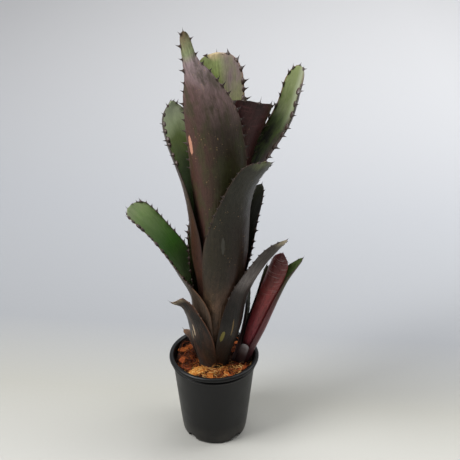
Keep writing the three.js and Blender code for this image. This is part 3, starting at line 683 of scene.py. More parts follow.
# From the outside in: each leaf's shape, the looks of its two faces, its slot, and its spines and margins.
LEAVES = [
    dict(
        leaf=Leaf(main, "leaf_dried", 0, 142, 9, [60, 55, 45],
            [(17, 9, 0, 9, 14, 0), (23, 26, 0, 5, 9, 0)], 8),
        outer=dict(stops=[(0.0, "#4a3426"), (0.75, "#3d291d"), (1.0, "#765438")], blotch="#2b1c14"),
        inner=dict(stops=[(0.0, "#4a3426"), (0.75, "#46301f"), (1.0, "#7d5a3c")], blotch="#2b1c14"),
        slot="leaf_dry", spine_look=brown_spine, waver=1.5,
    ),
    dict(
        leaf=Leaf(main, "leaf_outer_left", 1, -150, 53, [78, 68, 55],
            [(71, 6, 0, 23, 26, 0), (86, 13, -3, 18, 21, 0), (93, 24, -8, 10, 13, 0)], 9),
        # the first stop is the foot's own grey-brown, lightened further as painted fill light
        outer=dict(stops=[(0.0, "#4a433e"), (0.5, "#1c1712"), (0.92, "#201b17"), (0.985, "#c4b294")],
            blotch="#54392c", edge="#6b4530", spots=("#8a6a3c", 0.25),
            marks=[(6, 62, 1.2, 9, "#a8957a"), (1, 52, 1.0, 7, "#9a8468")]),
        inner=dict(stops=[(0.0, "#33301f"), (0.8, "#4a4a38"), (0.97, "#c0ac8c")], blotch="#5a5236"),
        slot="leaf_purple", spines=(0.72, 8, 3.6, 0.3), spine_look=brown_spine, end_spine=6.0, jag=3.0,
    ),
    dict(
        leaf=Leaf(main, "leaf_right_low", 2, -22, 78, [70, 67, 60],
            [(108, 6, 0, 23, 26, -12), (141, 21, 0, 16, 22, -20), (162, 35, 2, 12, 18, -25),
            (177, 47, 4, 8, 12, -30)], 25),
        # the first stop is the foot's own grey-brown, lightened further as painted fill light
        outer=dict(stops=[(0.0, "#4a423b"), (0.4, "#15100b"), (0.5, "#1a1511"), (0.57, "#3d3632"),
            (0.65, "#8f8784"), (0.71, "#8c8481"), (0.78, "#665f5c"), (0.86, "#605956"),
            (0.94, "#6a635d"), (0.99, "#e0d0ae")],
            blotch="#382c24", edge="#241c17",
            marks=[(-27, 57, 2.6, 8, "#7d7338"), (-16, 66, 1.0, 12, "#7a6238")]),
        inner=dict(stops=[(0.0, "#2d3020"), (0.8, "#43462f"), (1.0, "#c9b691")], blotch="#33301f"),
        slot="leaf_purple", spines=(0.5, 9, 3.9, 0.4),
    ),
    dict(
        leaf=Leaf(main, "leaf_left_low", 3, 174, 88, [100, 96, 80],
            [(115, 13, 0, 30, 30, -3), (147, 29, 2, 26, 32, -6), (177, 51, 2, 24, 32, -9),
            (197, 71, 2, 21, 32, -10)], 16),
        outer=dict(stops=[(0.0, "#43362c"), (0.3, "#5c4a3c"), (0.55, "#574b40"), (1.0, "#5f6150")],
            blotch="#33291f", edge="#6b4a34"),
        inner=dict(stops=[(0.0, "#1f2714"), (0.42, "#4a5a38"), (0.55, "#6a8050"), (0.72, "#386420"),
            (0.9, "#6d8250"), (1.0, "#80846a")],
            blotch="#47702a", blotch_amount=0.25, edge="#2e2a1c", weathering=0.3),
        slot="leaf_green", spines=(0.5, 7.5, 4.9, 0.35), flare=(0, -0.3),
    ),
    dict(
        leaf=Leaf(main, "leaf_back_left", 4, 118, 113, [95, 85, 70],
            [(143, 8, 0, 26, 38, 0), (175, 18, 0, 18, 36, 0)], 25),
        outer=dict(stops=[(0.0, "#30271e"), (0.6, "#4b4433"), (1.0, "#6b6848")], blotch="#33291f"),
        inner=dict(stops=[(0.0, "#22290f"), (0.7, "#46542c"), (1.0, "#75764d")], blotch="#2d3317"),
        slot="leaf_bronze", spines=(0.55, 8, 4.5, 0.35),
    ),
    dict(
        leaf=Leaf(main, "leaf_back_right", 5, 42, 123, [95, 85, 68],
            [(153, 7, 0, 27, 38, 0), (183, 18, 0, 18, 36, 0), (210, 34, 0, 10, 30, 0)], 30),
        outer=dict(stops=[(0.0, "#2b231c"), (0.6, "#3a3128"), (1.0, "#4a4030")], blotch="#2b231b"),
        # the near-black green of the inner face is painted shade, far darker than the leaf's own green
        inner=dict(stops=[(0.0, "#1c2112"), (0.6, "#1d2313"), (1.0, "#2c2f1c")], blotch="#14180c"),
        slot="leaf_bronze", spines=(0.5, 9, 4.2, 0.35),
    ),
    dict(
        leaf=Leaf(main, "leaf_front_right", 6, -47, 168, [98, 92, 74],
            [(203, 1.5, 0, 33, 35, 0), (243, 12, 1, 24, 38, 0), (276, 30, 9, 20, 36, 0)], 20),
        # the light brown stops at 0 and 0.28 are painted fill light on the dim foot of the tube
        outer=dict(stops=[(0.0, "#8a6a4e"), (0.28, "#9a7058"), (0.42, "#45261f"), (0.52, "#2e1610"),
            (0.66, "#2f231d"), (0.8, "#312e25"), (0.95, "#46473c"), (1.0, "#a3ae78")],
            blotch="#2f2c1c", edge="#382c25", spots=("#9a7a50", 0.3),
            flush=(6, -24, "#3f4030", 0.5, 0.0), marks=[(-20, 172, 2.0, 11, "#45433b")]),
        inner=dict(stops=[(0.0, "#262b17"), (0.8, "#4d5a33"), (0.97, "#93a56c"), (1.0, "#c9a277")],
            blotch="#39401f"),
        slot="leaf_bronze", spines=(0.62, 10, 4.5, 0.35), end_spine=3.0,
    ),
    dict(
        leaf=Leaf(main, "leaf_left_tall", 7, 155, 173, [100, 92, 78],
            [(223, 7, 0, 36, 34, 0), (273, 24, 0, 34, 36, 0), (300, 30, 0, 27, 34, 0),
            (317, 24, 0, 14, 34, 0)], 20),
        outer=dict(stops=[(0.0, "#2a1d18"), (0.5, "#40261e"), (1.0, "#4a4636")],
            blotch="#5e3629", blotch_amount=0.35, spots=("#a57a55", 0.25)),
        # the pale greyish stops at 0.9 and 0.95 are painted sheen on the upper blade
        inner=dict(stops=[(0.0, "#12170a"), (0.6, "#1a240f"), (0.76, "#33431c"), (0.85, "#6c7c42"),
            (0.9, "#c5d3a6"), (0.95, "#e9f2d0"), (1.0, "#bccb96")],
            blotch="#5b7440", blotch_amount=0.2, edge="#4a3026", weathering=0.35),
        slot="leaf_green", spines=(0.78, 9, 4.9, 0.3), jag=1.6, flare=(0, 0.9),
    ),
    dict(
        leaf=Leaf(main, "leaf_right_tall", 8, 18, 185, [95, 88, 72],
            [(243, 17, 3, 23, 34, 0), (295, 49, 0, 24, 30, 0), (328, 60, 0, 23, 27, 0),
            (350, 65, 0, 17, 22, 0)], 20),
        outer=dict(stops=[(0.0, "#2b231c"), (0.6, "#3f352c"), (1.0, "#5c5344")], blotch="#33291f"),
        inner=dict(stops=[(0.0, "#0b0d06"), (0.79, "#0d1007"), (0.84, "#333f22"), (0.885, "#62694a"),
            (1.0, "#7a8556")],
            # the pale midline line is a painted highlight
            blotch="#4f5f2c", edge="#6b4536", midline_highlight="#9aa088", flush=(4, -10, "#6c5852", 0.75, 0.0),
            weathering=0.35),
        slot="leaf_green", spines=(0.62, 12, 5.6, 0.35), jag=1.4, skew=9.0, flare=(0.6, 0),
    ),
    dict(
        leaf=Leaf(main, "leaf_front_tall", 9, -90, 193, [100, 94, 80],
            [(248, 1.5, 0, 38, 32, 0), (303, 3, -5, 35, 33, 0), (335, 4, -12, 27, 30, 0),
            (358, 4, -18.5, 17, 24, 0), (378, 3, -26.5, 8.5, 14, 0), (408, 0, -33, 5, 12, 0)], 12),
        # the lavender-grey stops at 0.84 and 0.92 are partly the leaf's grey bloom, partly painted sheen
        outer=dict(stops=[(0.0, "#342620"), (0.4, "#33201a"), (0.6, "#322b19"), (0.74, "#42362e"),
            (0.84, "#8b7371"), (0.92, "#b8a3a6"), (0.95, "#a3b083"), (1.0, "#7a5f4a")],
            blotch="#3d3f24", blotch_amount=0.65, edge="#5a4a44", weathering=0.65,
            flush=(4, -22, "#573834", 0.7, 0.0), spots=("#a88a5c", 0.25),
            marks=[(-29, 279, 3.0, 12, "#b5826c")]),
        inner=dict(stops=[(0.0, "#262b17"), (0.8, "#4d5a33"), (1.0, "#93a56c")], blotch="#39401f"),
        slot="leaf_purple", spines=(0.6, 12, 5.1, 0.35),
    ),
    dict(
        leaf=Leaf(main, "leaf_front_inner", 10, -65, 203, [95, 85, 70],
            [(273, -6.5, 19.5, 23, 28, 0), (326, 1, 36, 27, 30, 0)], 9),
        outer=dict(stops=[(0.0, "#2e1f1d"), (0.6, "#492c2a"), (0.9, "#583033"), (1.0, "#33201f")],
            blotch="#5c3536", blotch_amount=0.4, edge="#2a1a1a", spots=("#a8866a", 0.12),
            bands=("#7d4a4c", 0.35)),
        inner=dict(stops=[(0.0, "#262b17"), (0.8, "#3f4a2b"), (1.0, "#5d6a42")], blotch="#39401f"),
        slot="leaf_purple", spines=(0.6, 12, 5.7, 0.25), end_spine=7.0, waver=1.6, jag=3.4,
    ),
    dict(
        leaf=Leaf(main, "leaf_back_tall", 11, 88, 233, [95, 85, 72],
            [(283, 6, 0, 34, 28, 0), (333, 16, 0, 32, 30, 0), (363, 24, 3, 26, 28, 0)], 24),
        outer=dict(stops=[(0.0, "#30271e"), (0.6, "#463b30"), (1.0, "#6a6048")], blotch="#33291f"),
        inner=dict(stops=[(0.0, "#1f2412"), (0.6, "#4a5728"), (0.78, "#687a22"), (0.9, "#6c7c36"),
            (0.98, "#8f9a66"), (0.998, "#d8c09a")],
            blotch="#6d7a42", blotch_amount=0.3, edge="#7a5a48", weathering=0.6,
            flush=(2, -10, "#746465", 0.95, 0.86)),
        slot="leaf_green", spines=(0.6, 11, 6.6, 0.4), jag=2.4,
    ),
    dict(
        leaf=Leaf(main, "leaf_heart", 12, 190, 198, [95, 80, 60],
            [(243, -7, 0, 9, 14, 0), (283, -9, 0, 6, 12, 0)], 30),
        outer=dict(stops=[(0.0, "#3a4024"), (0.7, "#5a6a34"), (1.0, "#8a9a52")], blotch="#47522a"),
        inner=dict(stops=[(0.0, "#3a4024"), (0.7, "#5f7038"), (1.0, "#8a9a52")], blotch="#47522a"),
        slot="leaf_green", spines=(0.7, 7, 3.0, 0.3), spine_look=brown_spine,
    ),
    dict(
        leaf=Leaf(pup, "pup_scale", 0, -112, 12, [30, 28, 26],
            [(21, 0.5, 0, 6, 9, 0), (31, 1, 0, 4.5, 7, 0)], 6, row_mm=1.0),
        outer=dict(stops=[(0.0, "#3a2628"), (0.4, "#5a4648"), (0.75, "#a29a9b"), (1.0, "#d8d3d5")],
            blotch="#6d5c5c", blotch_amount=0.3, weathering=0.5),
        inner=dict(stops=[(0.0, "#5a4a48"), (1.0, "#a89c9a")], blotch="#6d5c5c"),
        slot="leaf_dry", spine_look=pale_spine, thick=0.9, end_spine=1.5,
    ),
    dict(
        leaf=Leaf(pup, "pup_leaf_dark", 1, 165, 38, [80, 70, 45],
            [(63, 5, -4, 9, 9, 0), (98, 14, -8, 5, 8, 0)], 14),
        outer=dict(stops=[(0.0, "#a08a8a"), (0.25, "#9a7c7c"), (0.45, "#5a3336"), (0.6, "#2a1c1a"),
            (1.0, "#2c2a20")],
            blotch="#2d1f1a"),
        inner=dict(stops=[(0.0, "#1f2414"), (1.0, "#2d3320")], blotch="#151a0d"),
        slot="leaf_purple", spines=(0.5, 7, 2.4, 0.3), thick=1.0,
    ),
    dict(
        leaf=Leaf(pup, "pup_leaf_green", 2, 10, 73, [100, 95, 80],
            [(108, 3, 0, 14, 11, 0), (136, 10.8, 0, 7, 9, 0)], 30),
        outer=dict(stops=[(0.0, "#6a4448"), (0.5, "#7c3a41"), (0.68, "#4a3a24"), (0.8, "#454e22"),
            (1.0, "#5c6636")],
            blotch="#5a3032", edge="#6a3438"),
        inner=dict(stops=[(0.0, "#2d3a18"), (0.7, "#4a6024"), (1.0, "#748a4a")], blotch="#2d3a18",
            edge="#3a2222"),
        slot="leaf_green", spines=(0.7, 8, 2.1, 0.3), thick=1.0,
    ),
    dict(
        leaf=Leaf(pup, "pup_leaf_back", 3, 130, 83, [90, 85, 60],
            [(108, 1, 2, 8, 9, 0), (123, 3.5, 2, 4, 8, 0)], 16),
        outer=dict(stops=[(0.0, "#3a2322"), (1.0, "#3a2c28")], blotch="#2d1c1b"),
        inner=dict(stops=[(0.0, "#2d2f1c"), (1.0, "#3f4028")], blotch="#23240f"),
        slot="leaf_purple", spines=(0.7, 8, 2.4, 0.3), thick=1.0, end_spine=4.5,
    ),
    dict(
        leaf=Leaf(pup, "pup_leaf_red", 4, -115, 103, [100, 100, 100],
            [(131, -1, 0, 15, 10.5, 0), (151, -1.5, 0, 9, 9, 0)], 22),
        outer=dict(stops=[(0.0, "#6a4448"), (0.25, "#a8434e"), (0.7, "#a84a47"), (1.0, "#66383a")],
            blotch="#74403a", blotch_amount=0.4, edge="#8a2f3a", bands=("#b9aba6", 0.7),
            roughness=0.3),
        inner=dict(stops=[(0.0, "#3a2022"), (1.0, "#4a3a2a")], blotch="#33241c"),
        slot="leaf_red", spines=(0.85, 6, 1.8, 0.3), thick=1.0, end_spine=1.5, sharp=0.8,
    ),
]


def build_leaf(seed, leaf, outer, inner, slot, spine_look=dark_spine, **shape):
    faces = [
        leaf_material(f"{leaf.name}_outer", float(seed), **outer),
        leaf_material(f"{leaf.name}_inner", seed + INNER_SEED_SHIFT, **inner),
    ]
    leaf_piece(leaf, [*faces, spine_look], slot, seed, **shape)


# ------------------------------------------------------------------ pot

LIP_DEPTH = 4.6  # how far the lip stands out from the wall below it
WALL = 1.3
INNER_RADIUS = RIM_RADIUS - LIP_DEPTH - WALL
FOOT_INSIDE, FOOT_RADIUS, FOOT_FLARE = 34.0, 36.5, 2.3
FLOOR_LIFT = 5.0  # underside of the pot's floor above the surface
FLOOR_TOP = FLOOR_LIFT + WALL
NOTCH_RADIUS, NOTCH_LENGTH, NOTCH_COUNT = 7.3, 14, 4
NOTCH_RING = FOOT_RADIUS + 1
POT_SEGMENTS = 180


def rounded(profile):
    """Cuts the corners of an open profile three times over, keeping its two ends."""
    points = np.array(profile, float)
    for _ in range(3):
        a, b = points[:-1], points[1:]
        cuts = np.stack([lerp(a, b, 0.25), lerp(a, b, 0.75)], 1).reshape(-1, 2)
        points = np.vstack([points[:1], cuts, points[-1:]])
    return points


def pot_material():
    tree = Tree("pot_plastic", 0.24)
    place = tree.position()
    x, y, z = tree.split(place)
    cloudy = tree.noise(place, 38.0, 4.0, 0.6)
    upright = (tree.math("MULTIPLY", axis, rate) for axis, rate in ((x, 420.0), (y, 420.0), (z, 14.0)))
    drawn = tree.noise(tree.join(*upright), 1.0, 3.0, 0.6)
    colour = tree.mix(tree.span(cloudy, 0.35, 0.7), rgb("#0e0e0e"), rgb("#151514"))
    colour = tree.mix(tree.span(drawn, 0.6, 0.8, 0.0, 0.25), colour, rgb("#2a2927"))
    low, patchy = tree.span(z, 0.025, 0.0), tree.span(cloudy, *NOISE_SPREAD, 0.0, 0.35)
    colour = tree.mix(tree.math("MULTIPLY", low, patchy), colour, rgb("#6b655c"))
    normal = tree.bump(tree.noise(place, 2600.0, 3.0, 0.6), 0.06, 0.6)
    normal = tree.bump(drawn, 0.12, 0.4, normal)
    normal = tree.bump(tree.noise(place, 22.0, 2.0), 1.2, 0.35, normal)
    return tree.finish(colour, tree.span(cloudy, *NOISE_SPREAD, 0.32, 0.46), normal)


def pot_profile():
    """Radii and heights of the pot's section, from the middle of its underside round to its floor's top."""
    top, lip = POT_HEIGHT, RIM_RADIUS
    below_lip = [(-4.2, -10.8), (-2.3, -10.0), (-2.1, -7.9), (-4.4, -7.0), (-4.4, -5.6)]
    rolled_lip = [(-0.7, -5.0), (0.3, -3.0), (-0.5, -0.6), (-2.4, 0.2), (-4.4, -0.2)]
    foot = [(FOOT_INSIDE, 0.0), (FOOT_RADIUS, 0.0), (FOOT_RADIUS + FOOT_FLARE, FLOOR_LIFT)]
    wall = [(lip - LIP_DEPTH, top - 11.4)]
    collar = [(lip + out, top + up) for out, up in below_lip + rolled_lip]
    inside = [(INNER_RADIUS + 0.5, top - 1.8), (INNER_RADIUS, top - 11), (FOOT_RADIUS + 1, FLOOR_TOP + 0.2)]
    turned_part = rounded([*foot, *wall, *collar, *inside, (FOOT_RADIUS, FLOOR_TOP)])
    turned_part[:, 0] = np.minimum(turned_part[:, 0], lip)
    turned_part[:, 1] = np.clip(turned_part[:, 1], 0.0, top)
    under = [(0.6, FLOOR_LIFT), (20.0, FLOOR_LIFT), (FOOT_INSIDE, FLOOR_LIFT - 0.1)]
    return [*under, *turned_part, (20.0, FLOOR_TOP), (0.6, FLOOR_TOP)]


def cut_notch(pot, angle):
    """An arched notch in the pot's foot, cut by a cylinder that lies along the given direction."""
    bpy.ops.mesh.primitive_cylinder_add(vertices=48, radius=NOTCH_RADIUS * MM, depth=NOTCH_LENGTH * MM)
    cutter = bpy.context.object
    cutter.rotation_euler = (math.pi / 2, 0, angle + math.pi / 2)
    x, y = polar(NOTCH_RING * MM, angle)
    cutter.location = (POT_AXIS[0] + x, POT_AXIS[1] + y, 0)
    cut = pot.modifiers.new("notch", "BOOLEAN")
    cut.object = cutter
    cut.operation = "DIFFERENCE"
    cut.solver = "EXACT"
    bpy.context.view_layer.update()
    result = bpy.data.meshes.new_from_object(pot.evaluated_get(bpy.context.evaluated_depsgraph_get()))
    pot.modifiers.remove(cut)
    pot.data = result
    bpy.data.objects.remove(cutter, do_unlink=True)


def build_pot():
    """The nursery pot: a turned shell with a rolled lip, and arched notches cut in its foot."""
    angles = np.linspace(0, TURN, POT_SEGMENTS, endpoint=False)
    rings = [np.column_stack([*polar(r, angles), np.full(POT_SEGMENTS, z)]) for r, z in pot_profile()]
    faces = ring_faces(len(rings), POT_SEGMENTS)
    pot = make_piece("pot_shell", np.vstack(rings), faces, [pot_material()], ["pot"], "pot_plastic")
    for i in range(NOTCH_COUNT):
        cut_notch(pot, math.radians(45 + 360 / NOTCH_COUNT * i))
    pot.data.set_sharp_from_angle(angle=math.radians(40))


# ------------------------------------------------------------------ growing medium

PUP_CENTRE = (32.0, 4.0)
MAIN_CLEARANCE, PUP_CLEARANCE = 18.2, 12.9  # radii round the two stems that loose husk stays out of
CRUMB_COUNT = 420
FIBRE_COUNT = 1250
FIBRE_STEPS = 12
LOOPED_SHARE = 0.06
STRAND_SIDES = 5
FLAKE_SIDES, FLAKE_RINGS = 14, 15

HUSK_STOPS = [(0.0, "#130a05"), (0.3, "#43200f"), (0.5, "#823a18"), (0.7, "#a05a24"), (0.86, "#bd8038"),
              (1.0, "#d9b271")]
BED_STOPS = [(0.0, "#120a06"), (0.5, "#2b170d"), (1.0, "#4a2815")]
BED_SHADE = 0.4


def husk_material(name, stops, roughness=0.75):
    """Fibrous coconut husk. The shade attribute picks each bit's colour."""
    tree = Tree(name, 0.15)
    place = tree.position()
    grain = tree.noise(place, 700.0, 4.0, 0.7)
    fibre = tree.noise(place, 260.0, 3.0, 0.6, 1.2)
    picked = tree.math("ADD", tree.attribute("shade"), tree.span(fibre, *NOISE_SPREAD, -0.16, 0.16))
    colour = tree.ramp(picked, stops)
    colour = tree.mix(tree.span(grain, 0.42, 0.72, 0.0, 0.5), colour, rgb("#2a150b"))
    return tree.finish(colour, roughness, tree.bump(grain, 0.35, 0.9, tree.bump(fibre, 0.8, 0.8)))


def flattened(wave):
    """A sine or cosine wave with broader tops, which makes a round section squarish."""
    return np.sign(wave) * np.abs(wave) ** 0.6


def flake(length, width, thickness, rng):
    """A torn, slightly cupped flake of husk, lying along X about its own middle."""
    rings = []
    bow = rng.uniform(-0.5, 0.8)
    sway = rng.uniform(0, 6.28)
    torn = 1 + rng.normal(0, 0.13, (FLAKE_RINGS, FLAKE_SIDES)) * np.linspace(0.5, 1.0, FLAKE_RINGS)[:, None]
    a = np.linspace(0, TURN, FLAKE_SIDES, endpoint=False)
    for i in range(FLAKE_RINGS):
        s = i / (FLAKE_RINGS - 1)
        x = (s - 0.5) * length
        taper = (1 - abs(2 * s - 1) ** 4) * 0.85 + 0.15
        y = flattened(np.cos(a)) * width / 2 * taper * torn[i]
        y += 0.12 * width * math.sin(5 * s + sway)
        z = flattened(np.sin(a)) * thickness / 2 * (0.3 + 0.7 * taper) * torn[i]
        z += bow * thickness * (4 * (s - 0.5) ** 2 - 0.3) + 0.3 * thickness * (y / width) ** 2
        fray = rng.normal(0, 0.03 * length, FLAKE_SIDES) * (abs(2 * s - 1) ** 3)
        rings.append(np.column_stack([x + fray, y, z]))
    return np.vstack(rings), ring_faces(FLAKE_RINGS, FLAKE_SIDES)


def turned(points, spin, pitch, roll, place):
    c, s = math.cos(roll), math.sin(roll)
    points = points @ np.array([[1, 0, 0], [0, c, s], [0, -s, c]])
    c, s = math.cos(pitch), math.sin(pitch)
    points = points @ np.array([[c, 0, -s], [0, 1, 0], [s, 0, c]])
    c, s = math.cos(spin), math.sin(spin)
    points = points @ np.array([[c, s, 0], [-s, c, 0], [0, 0, 1]])
    return points + place


def clear_of_stems(x, y, margin):
    from_main = math.hypot(x, y) - MAIN_CLEARANCE
    from_pup = math.hypot(x - PUP_CENTRE[0], y - PUP_CENTRE[1]) - PUP_CLEARANCE
    return min(from_main, from_pup) > margin and math.hypot(x, y) < INNER_RADIUS - 1.5 - margin


def spot_on_bed(rng, least, most):
    """A random place between two shares of the bed's area."""
    angle = rng.uniform(0, TURN)
    r = INNER_RADIUS * math.sqrt(rng.uniform(least, most))
    return r * math.cos(angle), r * math.sin(angle)


def bed_light(x, y):
    """How light the husk is at a place: golden at the front, darker at the back left."""
    return lerp(0.4, 1.05, smooth((0.45 * x - y) / 50 + 0.5))


def build_bed():
    """The medium's own uneven surface, closed down to the pot's floor."""
    rings, around = 46, 150
    angles = np.linspace(0, TURN, around, endpoint=False)
    rows = []
    for i in range(rings):
        x, y = polar(lerp(0.5, INNER_RADIUS - 0.6, (i / (rings - 1)) ** 0.8), angles)
        hills = wobble(x * 0.33 + 0.5 * y * 0.2, 41) + wobble(y * 0.37 - 0.3 * x * 0.2, 42)
        lumps = wobble(x * 1.7 + y, 43) * wobble(y * 1.9 - x, 44)
        rows.append(np.column_stack([x, y, BED_Z - 2.4 + 1.1 * hills + 0.9 * lumps]))
    for z, r in ((60.0, 42.0), (FLOOR_TOP + 0.5, 37.0), (FLOOR_TOP + 0.5, 0.5)):
        rows.append(np.column_stack([*polar(r, angles), np.full(around, z)]))
    faces = [tuple(reversed(face)) for face in ring_faces(len(rows), around)]
    rows = np.vstack(rows)
    material = husk_material("coir_bed", BED_STOPS, 0.95)
    bed = make_piece("coir_bed", rows, faces, [material], ["substrate"], "coir")
    set_attribute(bed, "shade", "FLOAT", np.full(len(rows), BED_SHADE))


def loose_piece(name, build, material):
    piece = make_piece(name, build.vertices, build.faces, [material], ["substrate"], "coir")
    set_attribute(piece, "shade", "FLOAT", build.values)


def build_crumbs():
    rng = np.random.default_rng(51)
    build = Builder()
    count = 0
    while count < CRUMB_COUNT:
        x, y = spot_on_bed(rng, 0.12, 0.97)
        length = rng.uniform(3.5, 14.0)
        if not clear_of_stems(x, y, 0.32 * length):
            continue
        count += 1
        shape, faces = flake(length, length * rng.uniform(0.08, 0.28), rng.uniform(0.6, 1.5), rng)
        place = np.array([x, y, BED_Z - 1.5 + rng.uniform(0, 3.4)])
        shape = turned(shape, rng.uniform(0, 6.28), rng.normal(0, 0.3), rng.normal(0, 0.4), place)
        build.add(shape, faces, [rng.beta(1.6, 2.4) * bed_light(x, y)] * len(shape))
    loose_piece("husk_crumbs", build, husk_material("husk_crumb", HUSK_STOPS))


def strand(points, radius):
    """A thin tube along points, tapering to both ends."""
    tangent = unit(np.gradient(points, axis=0))
    side = unit(np.cross(tangent, np.array([0.12, 0.05, 1.0])))
    up = np.cross(side, tangent)
    a = np.linspace(0, TURN, STRAND_SIDES, endpoint=False)[:, None]
    rings = []
    for i, middle in enumerate(points):
        girth = radius * (0.35 + 0.65 * math.sin(math.pi * i / (len(points) - 1)) ** 0.5)
        rings.append(middle + girth * (np.cos(a) * side[i] + np.sin(a) * up[i]))
    return np.vstack(rings), ring_faces(len(points), STRAND_SIDES)


def build_fibres():
    rng = np.random.default_rng(61)
    build = Builder()
    count = 0
    while count < FIBRE_COUNT:
        x, y = spot_on_bed(rng, 0.15, 0.95)
        if not clear_of_stems(x, y, 1.0):
            continue
        looped = rng.uniform() < LOOPED_SHARE
        length = rng.uniform(22, 38) if looped else rng.uniform(8, 26)
        heading = rng.uniform(0, TURN)
        turn = rng.normal(0, 0.16)
        climb = rng.uniform(0.5, 1.0) if looped else rng.uniform(-0.1, 0.22)
        place = np.array([x, y, BED_Z + rng.uniform(-0.6, 3.0)])
        points = []
        for i in range(FIBRE_STEPS):
            points.append(place)
            heading += turn + rng.normal(0, 0.07)
            rise = climb * math.cos(math.pi * i / FIBRE_STEPS)
            place = place + np.array([math.cos(heading), math.sin(heading), rise]) * length / FIBRE_STEPS
        if not all(clear_of_stems(px, py, 0.4) for px, py, _ in points):
            continue
        count += 1
        body, faces = strand(np.array(points), rng.uniform(0.16, 0.42))
        build.add(body, faces, [rng.uniform(0.15, 1.0) * bed_light(x, y)] * len(body))
    loose_piece("coir_fibres", build, husk_material("coir_fibre", HUSK_STOPS, 0.6))


CHIPS = [
    # node, azimuth, distance in from the wall, length, width, spin beyond the azimuth, shade
    ("husk_chip_red", 152, 9, 22, 8, 60, 0.6),
    ("husk_chip_golden", -124, 14, 23, 13, -40, 0.84),
    ("husk_chip_back", 118, 10, 15, 8, 20, 0.25),
    ("husk_chip_left", -172, 10, 15, 7, 80, 0.5),
    ("husk_chip_front_left", -148, 9, 14, 6, -70, 0.4),
    ("husk_chip_front", -96, 9, 18, 7, 15, 0.72),
    ("husk_chip_front_right", -62, 9, 15, 6, 30, 0.6),
    ("husk_chip_right", -32, 7, 12, 5, 60, 0.5),
    ("husk_chip_far_right", 48, 9, 15, 7, -45, 0.55),
]
CHIP_THICKNESS = 2.0
CHIP_LIFT = 3.0


def build_chips():
    material = husk_material("husk_chip", HUSK_STOPS)
    for i, (name, azimuth, inset, length, width, spin, shade) in enumerate(CHIPS):
        rng = np.random.default_rng(70 + i)
        shape, faces = flake(length, width, CHIP_THICKNESS, rng)
        place = np.array([*polar(INNER_RADIUS - inset, math.radians(azimuth)), BED_Z + CHIP_LIFT])
        shape = turned(shape, math.radians(azimuth + spin), rng.normal(0, 0.06), rng.normal(0, 0.12), place)
        chip = make_piece(f"{name}_flake", shape, faces, [material], [name], "husk")
        set_attribute(chip, "shade", "FLOAT", np.full(len(shape), shade))


# ------------------------------------------------------------------ stems


def stem_material():
    tree = Tree("stem_tissue")
    place = tree.position()
    rings = tree.noise(tree.join(0.0, 0.0, tree.split(place)[2]), 900.0, 2.0)
    grain = tree.noise(place, 500.0, 4.0)
    colour = tree.mix(tree.span(grain, 0.35, 0.7), rgb("#4a3826"), rgb("#7d6748"))
    return tree.finish(colour, 0.85, tree.bump(rings, 0.4, 0.8, tree.bump(grain, 0.3)))


def dress_stems():
    material = stem_material()
    for name in ("stem", "pup_stem", "stolon"):
        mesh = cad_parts[name].data
        mesh.materials.clear()
        mesh.materials.append(material)


# ------------------------------------------------------------------ stage


def build_stage():
    """A wide sheet of paper whose colour paints the studio light's fall-off: grey round the pot, darker on
    the left, fading to white far behind it.
    """
    bpy.ops.mesh.primitive_plane_add(size=60, location=(0, 0, 0))
    floor = bpy.context.object
    floor.name = "floor"
    tree = Tree("floor_paper")
    place = tree.add("ShaderNodeNewGeometry").outputs["Position"]
    x, y, _ = tree.split(place)
    # painted light: the ramp darkens the paper round the pot and lightens it far behind
    away = tree.span(tree.math("ADD", y, tree.math("MULTIPLY", x, 0.12)), -0.12, 1.9)
    colour = tree.ramp(away, [(0.0, "#b6b5b0"), (0.085, "#a09f98"), (0.16, "#939598"), (0.34, "#a8aaae"),
                              (1.0, "#ebebec")])
    # painted shade: darker towards the left
    colour = tree.mix(tree.span(x, -0.6, 0.5, 0.28, 0.0), colour, BLACK)
    grain = tree.noise(place, 300.0)
    floor.data.materials.append(tree.finish(colour, tree.span(grain, *NOISE_SPREAD, 0.75, 0.85)))
    floor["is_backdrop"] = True


def area_light(name, place, aim, size, power):
    light = bpy.data.lights.new(name, "AREA")
    light.shape = "RECTANGLE"
    light.size, light.size_y = size
    light.energy = power
    lamp = bpy.data.objects.new(name, light)
    lamp.location = place
    lamp.rotation_euler = (Vector(aim) - Vector(place)).to_track_quat("-Z", "Y").to_euler()
    bpy.context.scene.collection.objects.link(lamp)


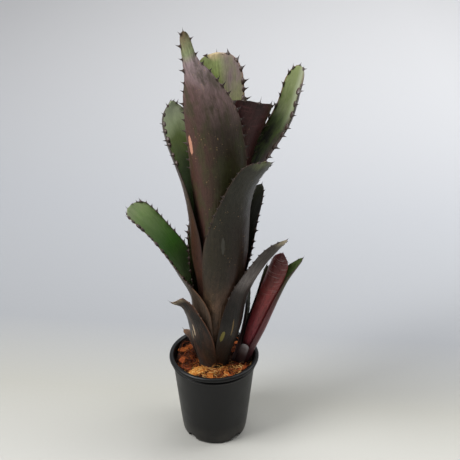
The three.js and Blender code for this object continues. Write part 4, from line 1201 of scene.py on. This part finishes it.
def build_lights():
    """Soft studio light from a world that is darker in front than behind, and three area lights."""
    world = bpy.data.worlds.new("studio")
    world.use_nodes = True
    nodes, links = world.node_tree.nodes, world.node_tree.links
    background = nodes["Background"]
    split = nodes.new("ShaderNodeSeparateXYZ")
    ramp = nodes.new("ShaderNodeValToRGB")
    links.new(nodes.new("ShaderNodeTexCoord").outputs["Generated"], split.inputs[0])
    links.new(split.outputs[1], ramp.inputs[0])
    links.new(ramp.outputs[0], background.inputs[0])
    ramp.color_ramp.elements[0].color = rgb("#6c6d70")
    ramp.color_ramp.elements[1].color = rgb("#c9cdd4")
    background.inputs[1].default_value = 0.9
    bpy.context.scene.world = world
    plant = (0, 0, 0.25)
    area_light("key_left", (-1.0, -0.4, 1.45), plant, (0.7, 1.0), 40)
    area_light("fill_right", (1.6, 0.3, 1.3), plant, (0.9, 1.6), 17)
    area_light("top", (0.4, 0.5, 2.1), (0.15, 0.35, 0), (1.5, 1.5), 36)


CAMERA_SEAT = (0.0187, -0.9558, 0.8069)  # metres from the pot's axis, at the surface it stands on
CAMERA_TILT = 29.23  # degrees below level
HALF_VIEW = 0.23  # half the picture's width at a distance of one


def build_camera():
    """A long lens in front of the plant, looking down at it."""
    camera = bpy.data.cameras.new("camera")
    camera.sensor_width = 36
    camera.lens = camera.sensor_width / 2 / HALF_VIEW
    seat = bpy.data.objects.new("camera", camera)
    right, back, up = CAMERA_SEAT
    seat.location = (POT_AXIS[0] + right, POT_AXIS[1] + back, up)
    seat.rotation_euler = (math.radians(90 - CAMERA_TILT), 0, 0)
    bpy.context.scene.collection.objects.link(seat)
    bpy.context.scene.camera = seat


# ------------------------------------------------------------------ the scene

bpy.context.scene.view_settings.view_transform = "Standard"
build_camera()
build_lights()
build_stage()
build_pot()
build_bed()
build_crumbs()
build_fibres()
build_chips()
dress_stems()
for order, entry in enumerate(LEAVES):
    build_leaf(FIRST_SEED + order, **entry)

boxes = {"cad": cad_box, "visual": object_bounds()}
{key: [list(map(float, corner)) for corner in box] for key, box in boxes.items()}
